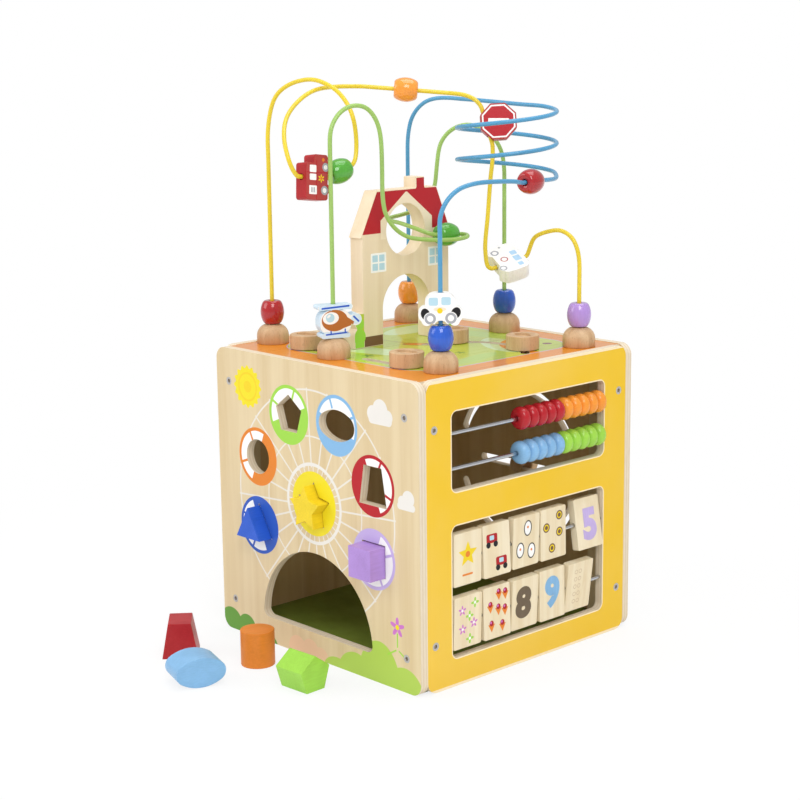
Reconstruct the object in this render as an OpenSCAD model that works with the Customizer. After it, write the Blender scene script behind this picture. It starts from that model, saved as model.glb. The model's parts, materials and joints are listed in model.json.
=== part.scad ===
// Wooden activity cube with five play sides: a shape sorter, an abacus with
// number tiles, a sliding maze, a gear train and a bead maze of bent wires on
// the top board. Millimetres, +Z up, origin at the centre of the box's base.
// The sorter panel faces -Y, the abacus panel +X, the maze panel +Y and the
// gear panel -X. Four of the sorter blocks lie on the floor in front.

/* [Box] */
// Outside width of the box, along X
box_w = 300; // [290:1:320]
// Outside depth of the box, along Y
box_d = 300; // [290:1:320]
// Height of the four side panels
box_h = 300; // [290:1:330]
// Thickness of the plywood side panels
panel_t = 9; // [8:0.5:12]
// Corner radius of the side panels
corner_r = 12; // [6:1:18]
// Thickness of the floor board
floor_t = 9; // [6:0.5:15]
// Thickness of the top board
top_t = 9; // [8:0.5:12]
// How far the top board's face lies below the panels' top edges
top_drop = 0.5; // [0.3:0.1:3]
// Side length of the square corner posts
post_w = 21; // [19:0.5:26]

/* [Screws] */
// Diameter of the screw heads
head_d = 8; // [7:0.5:9.5]
// Height of the screw heads, sunk flush with the panel
head_h = 2.5; // [2:0.1:4]
// Diameter of the screw shanks
shank_d = 4; // [3:0.1:5]
// Length of a screw under its head
shank_len = 24; // [18:0.5:26]
// Width across the corners of the hexagon socket in a screw head
socket_d = 4.6; // [3:0.1:5.5]
// Distance of the sorter and maze panels' screws from the panel's ends
screw_inset_a = 34; // [25:1:38]
// Distance of the abacus and gear panels' screws from the panel's ends
screw_inset_b = 46; // [44:1:55]

/* [Shape sorter] */
// Radius of the ring of shape holes round the star hole
sorter_ring_r = 93.5; // [90:0.5:97]
// Height of the star hole's centre
sorter_z = 158; // [155:1:162]
// Length of each shape block
block_len = 36; // [30:1:45]
// Gap between a block and its hole, on each side
block_clear = 0.8; // [0.5:0.1:1.5]
// Radius of the round block
round_r = 17; // [14:0.5:18]
// Radius of the pentagon block's corners
pentagon_r = 19.5; // [16:0.5:21]
// Half length of the oval block
oval_a = 25; // [22:0.5:27]
// Radius of the oval block's ends
oval_end_r = 10.5; // [9:0.5:12]
// Radius of the oval block's long sides
oval_side_r = 38; // [34:1:44]
// Width of the trapezoid block's long side
trapezoid_w = 36.5; // [32:0.5:38]
// Width of the trapezoid block's short side
trapezoid_top = 23; // [18:0.5:27]
// Height of the trapezoid block
trapezoid_h = 36.5; // [32:0.5:38]
// Side length of the square block
square_w = 31; // [27:0.5:33]
// Radius of the triangle block's corners
triangle_r = 21.5; // [18:0.5:23]
// Radius of the star block's points
star_r = 23; // [20:0.5:25]
// Radius of the star block's inner corners
star_in_r = 12; // [10:0.5:13]
// How far the star block stands out of the panel
star_out = 13; // [5:1:20]
// How far the triangle block stands out of the panel
triangle_out = 16; // [5:1:20]
// How far the square block stands out of the panel
square_out = 19; // [5:1:20]
// Radius of the arched opening
arch_r = 83; // [76:1:85]
// Height of the arched opening's sill
arch_z = 27; // [20:1:29]
// Radius of the arched opening's lower corners
arch_corner_r = 8; // [4:1:12]

/* [Abacus] */
// Width of both windows
window_w = 216; // [210:1:226]
// Corner radius of both windows
window_r = 6; // [3:1:8]
// Bottom of the bead window
bead_window_z = 191; // [188:1:193]
// Height of the bead window
bead_window_h = 77; // [74:1:80]
// Bottom of the tile window
tile_window_z = 28; // [24:1:30]
// Height of the tile window
tile_window_h = 130; // [127:1:132]
// Diameter of the steel rods
rod_d = 4; // [3:0.1:5]
// Depth of a rod's socket in the panel
rod_seat = 10; // [5:0.5:13]
// Running clearance round a rod
rod_clear = 0.4; // [0.3:0.05:0.8]
// Heights of the two bead rods
bead_rod_z = [246.5, 212.5];
// Heights of the two tile rods
tile_rod_z = [123.5, 61];
// Diameter of an abacus bead
abacus_d = 23; // [18:0.5:27]
// Thickness of an abacus bead with its gap
abacus_pitch = 12.4; // [11:0.2:14]
// Gap between neighbouring abacus beads
abacus_gap = 0.15; // [0.1:0.05:0.4]
// Free length that the five tiles leave on their rod
tile_play = 31; // [22:1:48]
// Height of a number tile
tile_h = 52; // [46:1:56]
// Thickness of a number tile
tile_t = 8; // [6.5:0.25:8.5]
// Corner radius of a number tile
tile_r = 2; // [1:0.5:4]

/* [Maze panel] */
// Width of the maze slots
slot_w = 9; // [8.5:0.5:11]
// Radius of the two curved slots' centre lines
maze_arc_r = 85; // [78:1:92]
// Angle that each curved slot spans
maze_arc_deg = 136; // [120:2:140]
// Length of the straight slot
maze_slot_len = 110; // [90:2:120]
// Diameter of a maze slider's knob
knob_d = 26; // [20:1:30]
// Height of a maze slider's knob
knob_h = 10; // [6:1:14]

/* [Gear panel] */
// Module of the gear teeth
gear_m = 5; // [4:0.25:5.5]
// Teeth of the middle gear
teeth_mid = 16; // [14:2:20]
// Teeth of the outer gears
teeth_out = 12; // [12:2:16]
// Thickness of the gears
gear_t = 9; // [7:0.5:12]
// Height of the middle gear's centre
gear_z = 130; // [115:1:150]
// Backlash of the teeth at the pitch circle
backlash = 0.8; // [0.5:0.1:1.2]
// Diameter of the gear pegs
peg_d = 12; // [9:0.5:14]
// Running clearance round a peg
peg_clear = 0.4; // [0.3:0.05:0.8]

/* [Top board] */
// Radius of the domes that hold the wires
dome_r = 16.5; // [13:0.5:17]
// Height of the domes
dome_h = 20; // [15:0.5:23]
// Radius of the domes' rounded shoulders
dome_round = 12; // [8:0.5:13]
// Diameter of the pucks
puck_d = 33.5; // [26:0.5:34]
// Height of the pucks above the board
puck_h = 14.5; // [8:0.5:18]
// Width of the slots that the pucks slide in
track_w = 9; // [8:0.5:11]
// Length of the left straight track
left_track_len = 57; // [50:1:57]
// Length of the right straight track
right_track_len = 76; // [55:1:76]
// Radius of the curved track's centre line
track_arc_r = 60; // [56:1:64]
// Gap between a slider and the board that it slides on
slide_gap = 0.4; // [0.3:0.05:0.8]

/* [House] */
// Width of the house's walls
house_w = 121; // [112:1:124]
// Thickness of the house board
house_t = 18.5; // [14:0.5:22]
// Height of the eaves
eaves_z = 111; // [106:1:114]
// Height of the roof ridge
ridge_z = 157; // [153:1:165]
// Radius of the round window
house_window_r = 26.5; // [25:0.5:28]
// Width of the arched door
door_w = 66; // [56:1:70]

/* [Wires and beads] */
// Diameter of the bent wires
wire_d = 4.5; // [3.5:0.1:5]
// Radius of the blue wire's coil
coil_r = 50; // [46:1:52]
// Rise of the coil in each turn
coil_pitch = 31.5; // [28:0.5:34]
// Diameter of a wooden bead
bead_d = 24.5; // [20:0.5:26]
// Height of a wooden bead
bead_h = 24; // [20:0.5:25]
// Radius of a bead's flat ends
bead_end_r = 8.6; // [6:0.2:9.4]
// Clearance between a wire and the bore of what slides on it
bore_clear = 0.8; // [0.6:0.05:1.5]
// Thickness of the small figures
figure_t = 15; // [11:0.5:16]
// Thickness of the round sign
sign_t = 13; // [11:0.5:16]
// Gap at rest under a piece that stands on another
rest_gap = 0.3; // [0.2:0.05:0.5]

/* [Hidden] */
$fn = 64;

// Half sizes of the box, outside and inside
hw = box_w / 2;
hd = box_d / 2;
in_x = hw - panel_t;
in_y = hd - panel_t;
top_z = box_h - top_drop;
post_top = top_z - top_t;
post_c = post_w / 2;
cut = 1;
end_ease = 0.05;

// Shape holes: the ring of six round the star hole
ring_deg = 22.5;
function ring_at(k) = [sorter_ring_r * cos(k * ring_deg), sorter_z + sorter_ring_r * sin(k * ring_deg)];
pos_square = ring_at(-1);
pos_trapezoid = ring_at(1);
pos_oval = ring_at(3);
pos_pentagon = ring_at(5);
pos_round = ring_at(7);
pos_triangle = ring_at(9);
pos_star = [0, sorter_z];
// A block in its hole rests on the hole's lower edge
block_sag = block_clear - rest_gap;

// Places and turns of the four blocks on the floor, chosen by hand
floor_trapezoid = [-112, -235, 51];
floor_oval = [-35, -274, 72];
floor_round = [-33, -199, 0];
floor_pentagon = [48, -209, 93];

// Rods lie in the middle of the abacus panel's thickness
rod_x = hw - panel_t / 2;
rod_half = window_w / 2 + rod_seat;
bead_bore_r = rod_d / 2 + rod_clear;
per_colour = 5;
// The first row stands against the window's right edge, as in use
stack_end = window_w / 2 - rest_gap;
tile_w = (window_w - tile_play) / 5;
// Gap before each tile of the upper and the lower row, and the tilt of each
tile_gap = [2.5, 2.5, 4.5, 2.5, 15.5, 2.5, 3, 2.5, 3, 3];
function gaps_to(k) = k % 5 == 0 ? tile_gap[k] : tile_gap[k] + gaps_to(k - 1);
function tile_y(k) = -window_w / 2 + gaps_to(k) + (k % 5 + 0.5) * tile_w;
tile_tilt = [1, -3, 2, -1, -9, 2, -2, 3, -1, 7];

// Gears: involute teeth, spread from the middle gear at a multiple of its pitch
pressure = 25;
addendum = 0.8;
dedendum = 1.05;
gear_dist = gear_m * (teeth_mid + teeth_out) / 2;
gear_dir = 360 / teeth_mid;
peg_head_d = 2 * peg_d;
peg_head_t = 4;

// Tracks of the top board: x, y of the straight ones' centres, and the arc's centre
track_left = [-68, -94];
track_right = [51, -94];
track_arc = [60, 0];
track_arc_from = 38;
track_arc_to = 176;
puck_rest = [-72.5, 75.5, 147, 60];

// Maze slots share this centre
maze_c = [0, 150];
neck_clear = 0.5;
flange_t = 3;

// The house stands behind this plane, centred here
house_x = -30;
house_y = 6.5;
door_c = [-0.5, 36.5];
house_window_c = [-1, 115.5];

// Wires. All heights are from the top board's face. Legs end in board sockets.
wire_r = wire_d / 2;
wire_sides = 8;
ring_step = 10;
socket_depth = 5;
socket_clear = 0.3;
leg_1 = [-124, -96];
leg_2 = [-12, -110];
leg_3 = [-124, 98];
leg_4 = [118, -90];
leg_5 = [0, 120];
leg_6 = [120, 103];
legs = [leg_1, leg_2, leg_3, leg_4, leg_5, leg_6];
coil_c = [51, 70];
coil_top = 238;
coil_from = 90;
coil_to = -673;
coil_step = 15;

function unit(v) = v / norm(v);
function foot(p) = [p[0], p[1], -socket_depth];
function up(p, z) = [p[0], p[1], z];
// Four points that keep a wire straight through a bead at c along d
seat_end = 4;
function seat(c, d, half, lead = seat_end, trail = seat_end) =
    [for (k = [-half - lead, -half, half, half + trail]) c + k * unit(d)];
// Heights to which the wires' legs run straight up
outer_leg = 170;
back_leg = 160;
right_leg = 144;
short_leg = 84;
leg_step = 20;
short_step = 14;

// Seats of the pieces that ride on bent stretches: centre and direction
loop_bead_c = [-29, -84, 180];
loop_bead_d = [-10, -95, -28];
truck_c = [-29, -119, 176];
truck_dir = [0, -99, 12];
truck_roll = 186;
// The truck stands close behind the bead, so its wire bends at once
close_end = 1;
ridge_c = [-35, 12.6, 256];
ridge_d = [70, 75, -9];
ridge_half = 40;
sign_c = [31, 62, 220];
sign_d = [7, 1.5, -20];
ambulance_c = [47, 78, 81];
ambulance_dir = [35, 90, 26];
ambulance_roll = 297;
window_bead_c = [-15, 49, 108];
window_bead_d = [-1, -20, 1];
coil_bead_c = [119, 32, 170];
coil_bead_d = [4, -19, 0];

yellow_route = concat([foot(leg_1), up(leg_1, outer_leg), up(leg_1, outer_leg + leg_step),
    [-124, -96, 212], [-122, -94, 234], [-117, -90, 252], [-105, -82, 263], [-84, -73, 268],
    [-68, -69, 265], [-53, -64, 257], [-40, -61, 243], [-33, -60, 228], [-30, -60, 211],
    [-29, -61, 199], [-27, -64, 190]],
    seat(loop_bead_c, loop_bead_d, 12.5, seat_end, close_end),
    seat(truck_c, truck_dir, 17, close_end, 2),
    [[-28, -144, 185], [-31, -147, 197], [-42, -142, 214], [-58, -126, 231], [-70, -102, 246],
    [-74, -77, 257], [-76, -48, 260]],
    seat(ridge_c, ridge_d, ridge_half),
    [[8, 52, 250.5], [18, 57.5, 246]],
    seat(sign_c, sign_d, 16),
    [[39, 62, 187], [38.5, 59, 165], [38, 56, 130], [37, 54, 110], [37, 53, 98], [37, 54, 88],
    [37, 55, 81], [38, 57, 77]],
    seat(ambulance_c, ambulance_dir, 18, 2, 3),
    [[61, 98, 104], [70, 98, 110], [83, 99, 114], [98, 99, 116], [111, 101, 110],
    [118, 102, 98], up(leg_6, short_leg), up(leg_6, short_leg - short_step), foot(leg_6)]);

green_route = concat([foot(leg_2), up(leg_2, outer_leg), up(leg_2, outer_leg + leg_step), [-12, -110, 206],
    [-13, -108, 221], [-13, -100, 234], [-10, -90, 242], [-7, -78, 244], [-5, -66, 240],
    [-4, -56, 228], [-4, -51, 212], [-7, -47, 180], [-9, -45, 155], [-10, -40, 135],
    [-9, -28, 120], [-7, -10, 110], [-4, 8, 107], [0, 28, 105], [3, 43, 104.5], [4, 54, 105],
    [2, 64, 106], [-5, 69, 107], [-12, 68, 107]],
    seat(window_bead_c, window_bead_d, 12.5),
    [[-19, 26, 111], [-27, 22, 114], [-38, 19, 117], [-54, 18, 120], [-67, 18, 121],
    [-76, 23, 122], [-79, 34, 123], [-77, 47, 125], [-71, 60, 129], [-65, 70, 137],
    [-60, 76, 152], [-58, 78, 175], [-55, 81, 199], [-46, 89, 213], [-32, 100, 218],
    [-19, 109, 212], [-8, 116, 201], [-2, 119, 187], up(leg_5, outer_leg),
    up(leg_5, outer_leg - short_step), foot(leg_5)]);

function coil_at(a) = [coil_c[0] + coil_r * cos(a), coil_c[1] + coil_r * sin(a),
    coil_top - coil_pitch * (coil_from - a) / 360];

blue_route = concat([foot(leg_3), up(leg_3, back_leg), up(leg_3, back_leg + leg_step), [-123, 98, 203],
    [-117, 99, 224], [-104, 102, 238], [-84, 106, 244], [-50, 113, 243], [-13, 118, 241],
    [22, 120, 239]],
    [for (a = [coil_from:-coil_step:coil_to]) coil_at(a)],
    [[98, 92, 169], [109, 70, 169]],
    seat(coil_bead_c, coil_bead_d, 12.5),
    [[125, 5, 172], [128, -25, 174], [127, -52, 174], [123, -72, 169], [119.5, -84, 158],
    up(leg_4, right_leg), up(leg_4, right_leg - short_step), foot(leg_4)]);

// Direction of the route at point i
function aim(p, i) = unit(p[min(i + 1, len(p) - 1)] - p[max(i - 1, 0)]);
function straight(p, i) = let (d = unit(p[i + 1] - p[i]))
    norm(cross(aim(p, i), d)) < 0.02 && norm(cross(aim(p, i + 1), d)) < 0.02;
function hermite(a, b, ta, tb, s) = a * (2 * s * s * s - 3 * s * s + 1) + ta * (s * s * s - 2 * s * s + s)
    + b * (3 * s * s - 2 * s * s * s) + tb * (s * s * s - s * s);
// Smooth points along a route: a ring about every ring_step on its bends
function smooth(p) = [for (i = [0:len(p) - 2]) let (l = norm(p[i + 1] - p[i]),
    n = straight(p, i) ? 1 : ceil(l / ring_step)) for (j = [0:n - 1])
    hermite(p[i], p[i + 1], aim(p, i) * l, aim(p, i + 1) * l, j / n), p[len(p) - 1]];
// A normal for each point, carried along without twist
function normals(p) = [for (i = 0, n = [1, 0, 0]; i < len(p);
    n = i + 1 < len(p) ? unit(n - (n * aim(p, i + 1)) * aim(p, i + 1)) : n, i = i + 1) n];

module sweep(p, r, m) {
    nn = normals(p);
    pts = [for (i = [0:len(p) - 1]) let (t = aim(p, i), n = nn[i], b = cross(t, n))
        for (k = [0:m - 1]) p[i] + r * (cos(360 * k / m) * n + sin(360 * k / m) * b)];
    sides = [for (i = [0:len(p) - 2]) for (k = [0:m - 1]) let (a = i * m + k,
        b = i * m + (k + 1) % m) each [[a, b + m, b], [a, a + m, b + m]]];
    last = (len(p) - 1) * m;
    polyhedron(concat(pts, []), concat([[for (k = [0:m - 1]) k]], sides,
        [[for (k = [m - 1:-1:0]) last + k]]), convexity = 10);
}

// Rectangle with round corners, centred
module rrect(w, h, r) {
    square([w - 2 * r, h], center = true);
    square([w, h - 2 * r], center = true);
    for (x = [-1, 1], y = [-1, 1])
        translate([x * (w / 2 - r), y * (h / 2 - r)]) circle(r);
}

// Slot with round ends along X, centred
module slot(len, w) {
    square([len - w, w], center = true);
    for (x = [-1, 1]) translate([x * (len - w) / 2, 0]) circle(w / 2);
}

// Curved slot of centre-line radius r, from angle a to angle b. Its end rounds
// are end_ease larger than the slot, so that they cross its sides cleanly.
module arc_slot(r, w, a, b) {
    big = 2 * r;
    intersection() {
        difference() {
            circle(r + w / 2);
            circle(r - w / 2);
        }
        polygon(concat([[0, 0]], [for (k = [0:4]) let (t = a + k * (b - a) / 4)
            [big * cos(t), big * sin(t)]]));
    }
    for (t = [a, b]) translate([r * cos(t), r * sin(t)]) circle(w / 2 + end_ease);
}

// Turns a drawing in X and Z so that it stands, its front face at y
module face_y(y, t) { translate([0, y + t, 0]) rotate([90, 0, 0]) linear_extrude(t) children(); }
// Turns a drawing in Y and Z so that it stands, its far face at x + t
module face_x(x, t) { translate([x, 0, 0]) rotate([90, 0, 90]) linear_extrude(t) children(); }
module on_top() { translate([0, 0, top_z]) children(); }
// Turns +Z towards d
module turn_to(d) { rotate([0, acos(d[2] / norm(d)), atan2(d[1], d[0])]) children(); }

// Outlines of the sorter shapes, grown by g for the holes
function fan(n, r, a0) = [for (k = [0:n - 1]) r * [cos(a0 + 360 * k / n), sin(a0 + 360 * k / n)]];
module pentagon_2d(g) { polygon(fan(5, pentagon_r + g / cos(36), 90)); }
module triangle_2d(g) { polygon(fan(3, triangle_r + g / cos(60), 90)); }
module square_2d(g) { square(square_w + 2 * g, center = true); }
module round_2d(g) { circle(round_r + g); }
module star_2d(g) {
    polygon([for (k = [0:9]) let (r = k % 2 == 0 ? star_r + 2 * g : star_in_r + 1.2 * g)
        r * [cos(90 + 36 * k), sin(90 + 36 * k)]]);
}
module trapezoid_2d(g) {
    polygon([[-trapezoid_w / 2 - g, -trapezoid_h / 2 - g], [trapezoid_w / 2 + g, -trapezoid_h / 2 - g],
        [trapezoid_top / 2 + g, trapezoid_h / 2 + g], [-trapezoid_top / 2 - g, trapezoid_h / 2 + g]]);
}
// Oval of four arcs that meet without a corner
module oval_2d(g) {
    er = oval_end_r + g;
    sr = oval_side_r + g;
    c = oval_a - oval_end_r;
    d = sqrt((sr - er) * (sr - er) - c * c);
    tx = c + er * c / (sr - er);
    intersection() {
        translate([0, -d]) circle(sr);
        translate([0, d]) circle(sr);
        square([2 * tx, 2 * sr], center = true);
    }
    for (x = [-c, c]) translate([x, 0]) circle(er);
}
function oval_half_h() = let (c = oval_a - oval_end_r, k = oval_side_r - oval_end_r)
    oval_side_r - sqrt(k * k - c * c);

module arch_2d() {
    intersection() {
        translate([0, arch_z]) circle(arch_r);
        union() {
            translate([-arch_r, arch_z + arch_corner_r]) square([2 * arch_r, arch_r]);
            translate([-arch_r + arch_corner_r, arch_z])
                square([2 * (arch_r - arch_corner_r), 2 * arch_corner_r]);
            for (x = [-1, 1]) translate([x * (arch_r - arch_corner_r), arch_z + arch_corner_r])
                circle(arch_corner_r);
        }
    }
}

// Screw places on a panel, from its middle line
function screw_a() = [for (x = [-1, 1], z = [screw_inset_a, box_h - screw_inset_a])
    [x * (in_x - post_c), z]];
function screw_b() = [for (y = [-1, 1], z = [screw_inset_b, box_h - screw_inset_b])
    [y * (in_y - post_c), z]];

// One screw along +Z, its head's face at z = 0 and its tip below
module screw(gap) {
    translate([0, 0, -head_h]) cylinder(d = head_d + 2 * gap, h = head_h + (gap > 0 ? cut : 0));
    translate([0, 0, -head_h - shank_len - gap]) cylinder(d = shank_d + 2 * gap, h = shank_len + gap + head_h / 2);
}
module socket() { translate([0, 0, -head_h * 0.6]) cylinder(d = socket_d, h = head_h, $fn = 6); }
module at_screws(front, right, back, left) {
    if (front) for (p = screw_a()) translate([p[0], -hd, p[1]]) rotate([90, 0, 0]) children();
    if (back) for (p = screw_a()) translate([p[0], hd, p[1]]) rotate([-90, 0, 0]) children();
    if (right) for (p = screw_b()) translate([hw, p[0], p[1]]) rotate([0, 90, 0]) children();
    if (left) for (p = screw_b()) translate([-hw, p[0], p[1]]) rotate([0, -90, 0]) children();
}
screw_gap = 0.1;

module sorter_panel() color("burlywood") difference() {
    face_y(-hd, panel_t) difference() {
        translate([0, box_h / 2]) rrect(box_w, box_h, corner_r);
        translate(pos_star) star_2d(block_clear);
        translate(pos_square) square_2d(block_clear);
        translate(pos_trapezoid) trapezoid_2d(block_clear);
        translate(pos_oval) oval_2d(block_clear);
        translate(pos_pentagon) pentagon_2d(block_clear);
        translate(pos_round) round_2d(block_clear);
        translate(pos_triangle) triangle_2d(block_clear);
        arch_2d();
    }
    at_screws(true, false, false, false) screw(screw_gap);
}

module abacus_panel() color("goldenrod") difference() {
    face_x(in_x, panel_t) difference() {
        translate([0, box_h / 2]) rrect(2 * in_y, box_h, corner_r);
        translate([0, bead_window_z + bead_window_h / 2]) rrect(window_w, bead_window_h, window_r);
        translate([0, tile_window_z + tile_window_h / 2]) rrect(window_w, tile_window_h, window_r);
    }
    at_screws(false, true, false, false) screw(screw_gap);
    for (z = concat(bead_rod_z, tile_rod_z)) rod(z, rod_half, rod_d / 2 + screw_gap / 2);
}

module maze_panel() color("burlywood") difference() {
    face_y(hd - panel_t, panel_t) difference() {
        translate([0, box_h / 2]) rrect(box_w, box_h, corner_r);
        translate(maze_c) {
            for (m = [90, 270]) arc_slot(maze_arc_r, slot_w, m - maze_arc_deg / 2, m + maze_arc_deg / 2);
            slot(maze_slot_len, slot_w);
        }
    }
    at_screws(false, false, true, false) screw(screw_gap);
}

module gear_panel() color("burlywood") difference() {
    face_x(-hw, panel_t) difference() {
        translate([0, box_h / 2]) rrect(2 * in_y, box_h, corner_r);
        for (p = [gear_at(-1), gear_at(0), gear_at(1)]) translate(p) circle(peg_d / 2 + screw_gap / 2);
    }
    at_screws(false, false, false, true) screw(screw_gap);
}

module track_2d() {
    translate(track_left) slot(left_track_len, track_w);
    translate(track_right) slot(right_track_len, track_w);
    translate(track_arc) arc_slot(track_arc_r, track_w, track_arc_from, track_arc_to);
}

module top_board() color("yellowgreen") difference() {
    translate([0, 0, top_z - top_t]) linear_extrude(top_t) difference() {
        square([2 * in_x, 2 * in_y], center = true);
        track_2d();
    }
    for (p = legs) translate([p[0], p[1], top_z - socket_depth])
        cylinder(r = wire_r + socket_clear, h = socket_depth + cut);
}

module floor_board() color("forestgreen")
    translate([-in_x, -in_y, 0]) cube([2 * in_x, 2 * in_y, floor_t]);

module corner_posts() color("burlywood") difference() {
    for (x = [-1, 1], y = [-1, 1])
        translate([x * (in_x - post_c), y * (in_y - post_c), (floor_t + post_top) / 2])
            cube([post_w, post_w, post_top - floor_t], center = true);
    at_screws(true, true, true, true) screw(screw_gap);
}

module panel_screws() color("dimgray") difference() {
    at_screws(true, true, true, true) screw(0);
    at_screws(true, true, true, true) socket();
}

module rod(z, half, r) { translate([rod_x, half, z]) rotate([90, 0, 0]) cylinder(r = r, h = 2 * half); }
module abacus_rods() color("silver") for (z = bead_rod_z) rod(z, rod_half, rod_d / 2);
module tile_rods() color("silver") for (z = tile_rod_z) rod(z, rod_half, rod_d / 2);

// One flat round bead with a round rim, its bore along Y
module abacus_bead() {
    t = abacus_pitch - abacus_gap;
    rotate([90, 0, 0]) rotate_extrude() difference() {
        union() {
            translate([0, -t / 2]) square([abacus_d / 2 - t / 2, t]);
            translate([abacus_d / 2 - t / 2, 0]) circle(t / 2);
        }
        translate([-abacus_d, -abacus_d]) square([abacus_d + bead_bore_r, 2 * abacus_d]);
    }
}
module bead_row(z, first) {
    for (k = [first:first + per_colour - 1])
        translate([rod_x, stack_end - (k + 0.5) * abacus_pitch, z]) abacus_bead();
}
module beads_orange() color("orange") bead_row(bead_rod_z[0], 0);
module beads_red() color("firebrick") bead_row(bead_rod_z[0], per_colour);
module beads_green() color("limegreen") bead_row(bead_rod_z[1], 0);
module beads_blue() color("lightskyblue") bead_row(bead_rod_z[1], per_colour);

module tile(k) color("wheat")
    translate([rod_x, tile_y(k), tile_rod_z[k < 5 ? 0 : 1]]) rotate([0, tile_tilt[k], 0]) difference() {
        translate([-tile_t / 2, 0, 0]) rotate([90, 0, 90]) linear_extrude(tile_t) rrect(tile_w, tile_h, tile_r);
        rotate([90, 0, 0]) cylinder(r = rod_d / 2 + rod_clear, h = tile_w + 2 * cut, center = true);
    }

// A block in its hole, its outer face this far out of the panel
module block_in(p, out) { translate([p[0], 0, p[1] - block_sag]) face_y(-hd - out, block_len) children(); }
// A block on the floor: half height hz, place and turn
module block_down(f, hz) {
    translate([f[0], f[1], hz]) rotate([0, 0, f[2]]) face_y(-block_len / 2, block_len) children();
}
module block_star() color("gold") block_in(pos_star, star_out) star_2d(0);
module block_triangle() color("royalblue") block_in(pos_triangle, triangle_out) triangle_2d(0);
module block_square() color("plum") block_in(pos_square, square_out) square_2d(0);
module block_trapezoid() color("firebrick") block_down(floor_trapezoid, trapezoid_h / 2) trapezoid_2d(0);
module block_oval() color("lightskyblue") block_down(floor_oval, oval_half_h()) oval_2d(0);
module block_pentagon() color("yellowgreen") block_down(floor_pentagon, pentagon_r * cos(36)) pentagon_2d(0);
module block_round() color("orange")
    translate([floor_round[0], floor_round[1], 0]) cylinder(r = round_r, h = block_len);

// Gear outline: involute flanks, flat tips and roots
function inv(a) = tan(a) - a * PI / 180;
function flank(z, r) = let (rb = gear_m * z / 2 * cos(pressure))
    90 / z - backlash / (gear_m * z) * 90 / PI * 2 / 2
    + (inv(pressure) - inv(acos(min(1, rb / max(r, rb))))) * 180 / PI;
function tooth(z) = let (rp = gear_m * z / 2, ro = rp + addendum * gear_m, ri = rp - dedendum * gear_m,
    rb = max(ri, rp * cos(pressure))) [ri, for (k = [0:4]) rb + (ro - rb) * k / 4];
module gear_2d(z) {
    rr = tooth(z);
    n = len(rr);
    polygon([for (k = [0:z - 1], j = [0:2 * n - 1]) let (i = j < n ? j : 2 * n - 1 - j,
        a = 360 * k / z + (j < n ? -1 : 1) * flank(z, rr[i])) rr[i] * [cos(a), sin(a)]]);
}
// Centres: -1 left, 0 middle, 1 right, seen from the box's left side
function gear_at(s) = s == 0 ? [0, gear_z] : let (a = 90 - s * (90 - gear_dir))
    [gear_dist * cos(a), gear_z + gear_dist * sin(a)];
gear_gap = 0.5;
gear_x = -hw - gear_gap - gear_t;
module gear(s) {
    z = s == 0 ? teeth_mid : teeth_out;
    spin = s == 0 ? 0 : 90 - s * (90 - gear_dir) + 180 + 180 / z;
    p = gear_at(s);
    translate([0, p[0], p[1]]) {
        face_x(gear_x, gear_t) difference() {
            rotate(spin) gear_2d(z);
            circle(peg_d / 2 + peg_clear);
        }
        if (s != 0) translate([gear_x - knob_h, (peg_head_d / 2 + 7) * s, 0])
            rotate([0, 90, 0]) cylinder(d = peg_d, h = knob_h);
    }
}
module gear_left() color("firebrick") gear(-1);
module gear_middle() color("gold") gear(0);
module gear_right() color("royalblue") gear(1);
module gear_pegs() color("burlywood") for (s = [-1, 0, 1]) {
    p = gear_at(s);
    translate([0, p[0], p[1]]) rotate([0, -90, 0]) {
        translate([0, 0, hw - panel_t]) cylinder(d = peg_d, h = panel_t + gear_t + 2 * gear_gap);
        translate([0, 0, hw + gear_t + 2 * gear_gap]) cylinder(d = peg_head_d, h = peg_head_t);
    }
}

// A slider: knob over the board, neck in the slot, flange under the board.
// The board's face is at z = 0 and its thickness is t.
module slider(d, h, t, w) {
    translate([0, 0, slide_gap]) cylinder(d = d, h = h);
    translate([0, 0, -t - slide_gap - flange_t / 2])
        cylinder(d = w - 2 * neck_clear, h = t + 2 * slide_gap + flange_t);
    translate([0, 0, -t - slide_gap - flange_t]) cylinder(d = 2 * w, h = flange_t);
}
module puck() difference() {
    slider(puck_d, puck_h, top_t, track_w);
    translate([0, 0, slide_gap + puck_h - 3]) linear_extrude(3 + cut) slot(puck_d * 0.72, puck_d * 0.42);
}
module puck_at(x, y, a) { on_top() translate([x, y, 0]) rotate([0, 0, a]) puck(); }
module puck_on_arc(a) {
    puck_at(track_arc[0] + track_arc_r * cos(a), track_arc[1] + track_arc_r * sin(a), a + 90);
}
module puck_1() color("burlywood") puck_at(puck_rest[0], track_left[1], 0);
module puck_2() color("burlywood") puck_at(puck_rest[1], track_right[1], 0);
module puck_3() color("burlywood") puck_on_arc(puck_rest[2]);
module puck_4() color("burlywood") puck_on_arc(puck_rest[3]);
module maze_slider(x, z) { translate([x, hd, z]) rotate([-90, 0, 0]) slider(knob_d, knob_h, panel_t, slot_w); }
module maze_slider_1() color("firebrick") maze_slider(maze_c[0], maze_c[1] + maze_arc_r);
module maze_slider_2() color("royalblue") maze_slider(maze_c[0], maze_c[1]);

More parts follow.
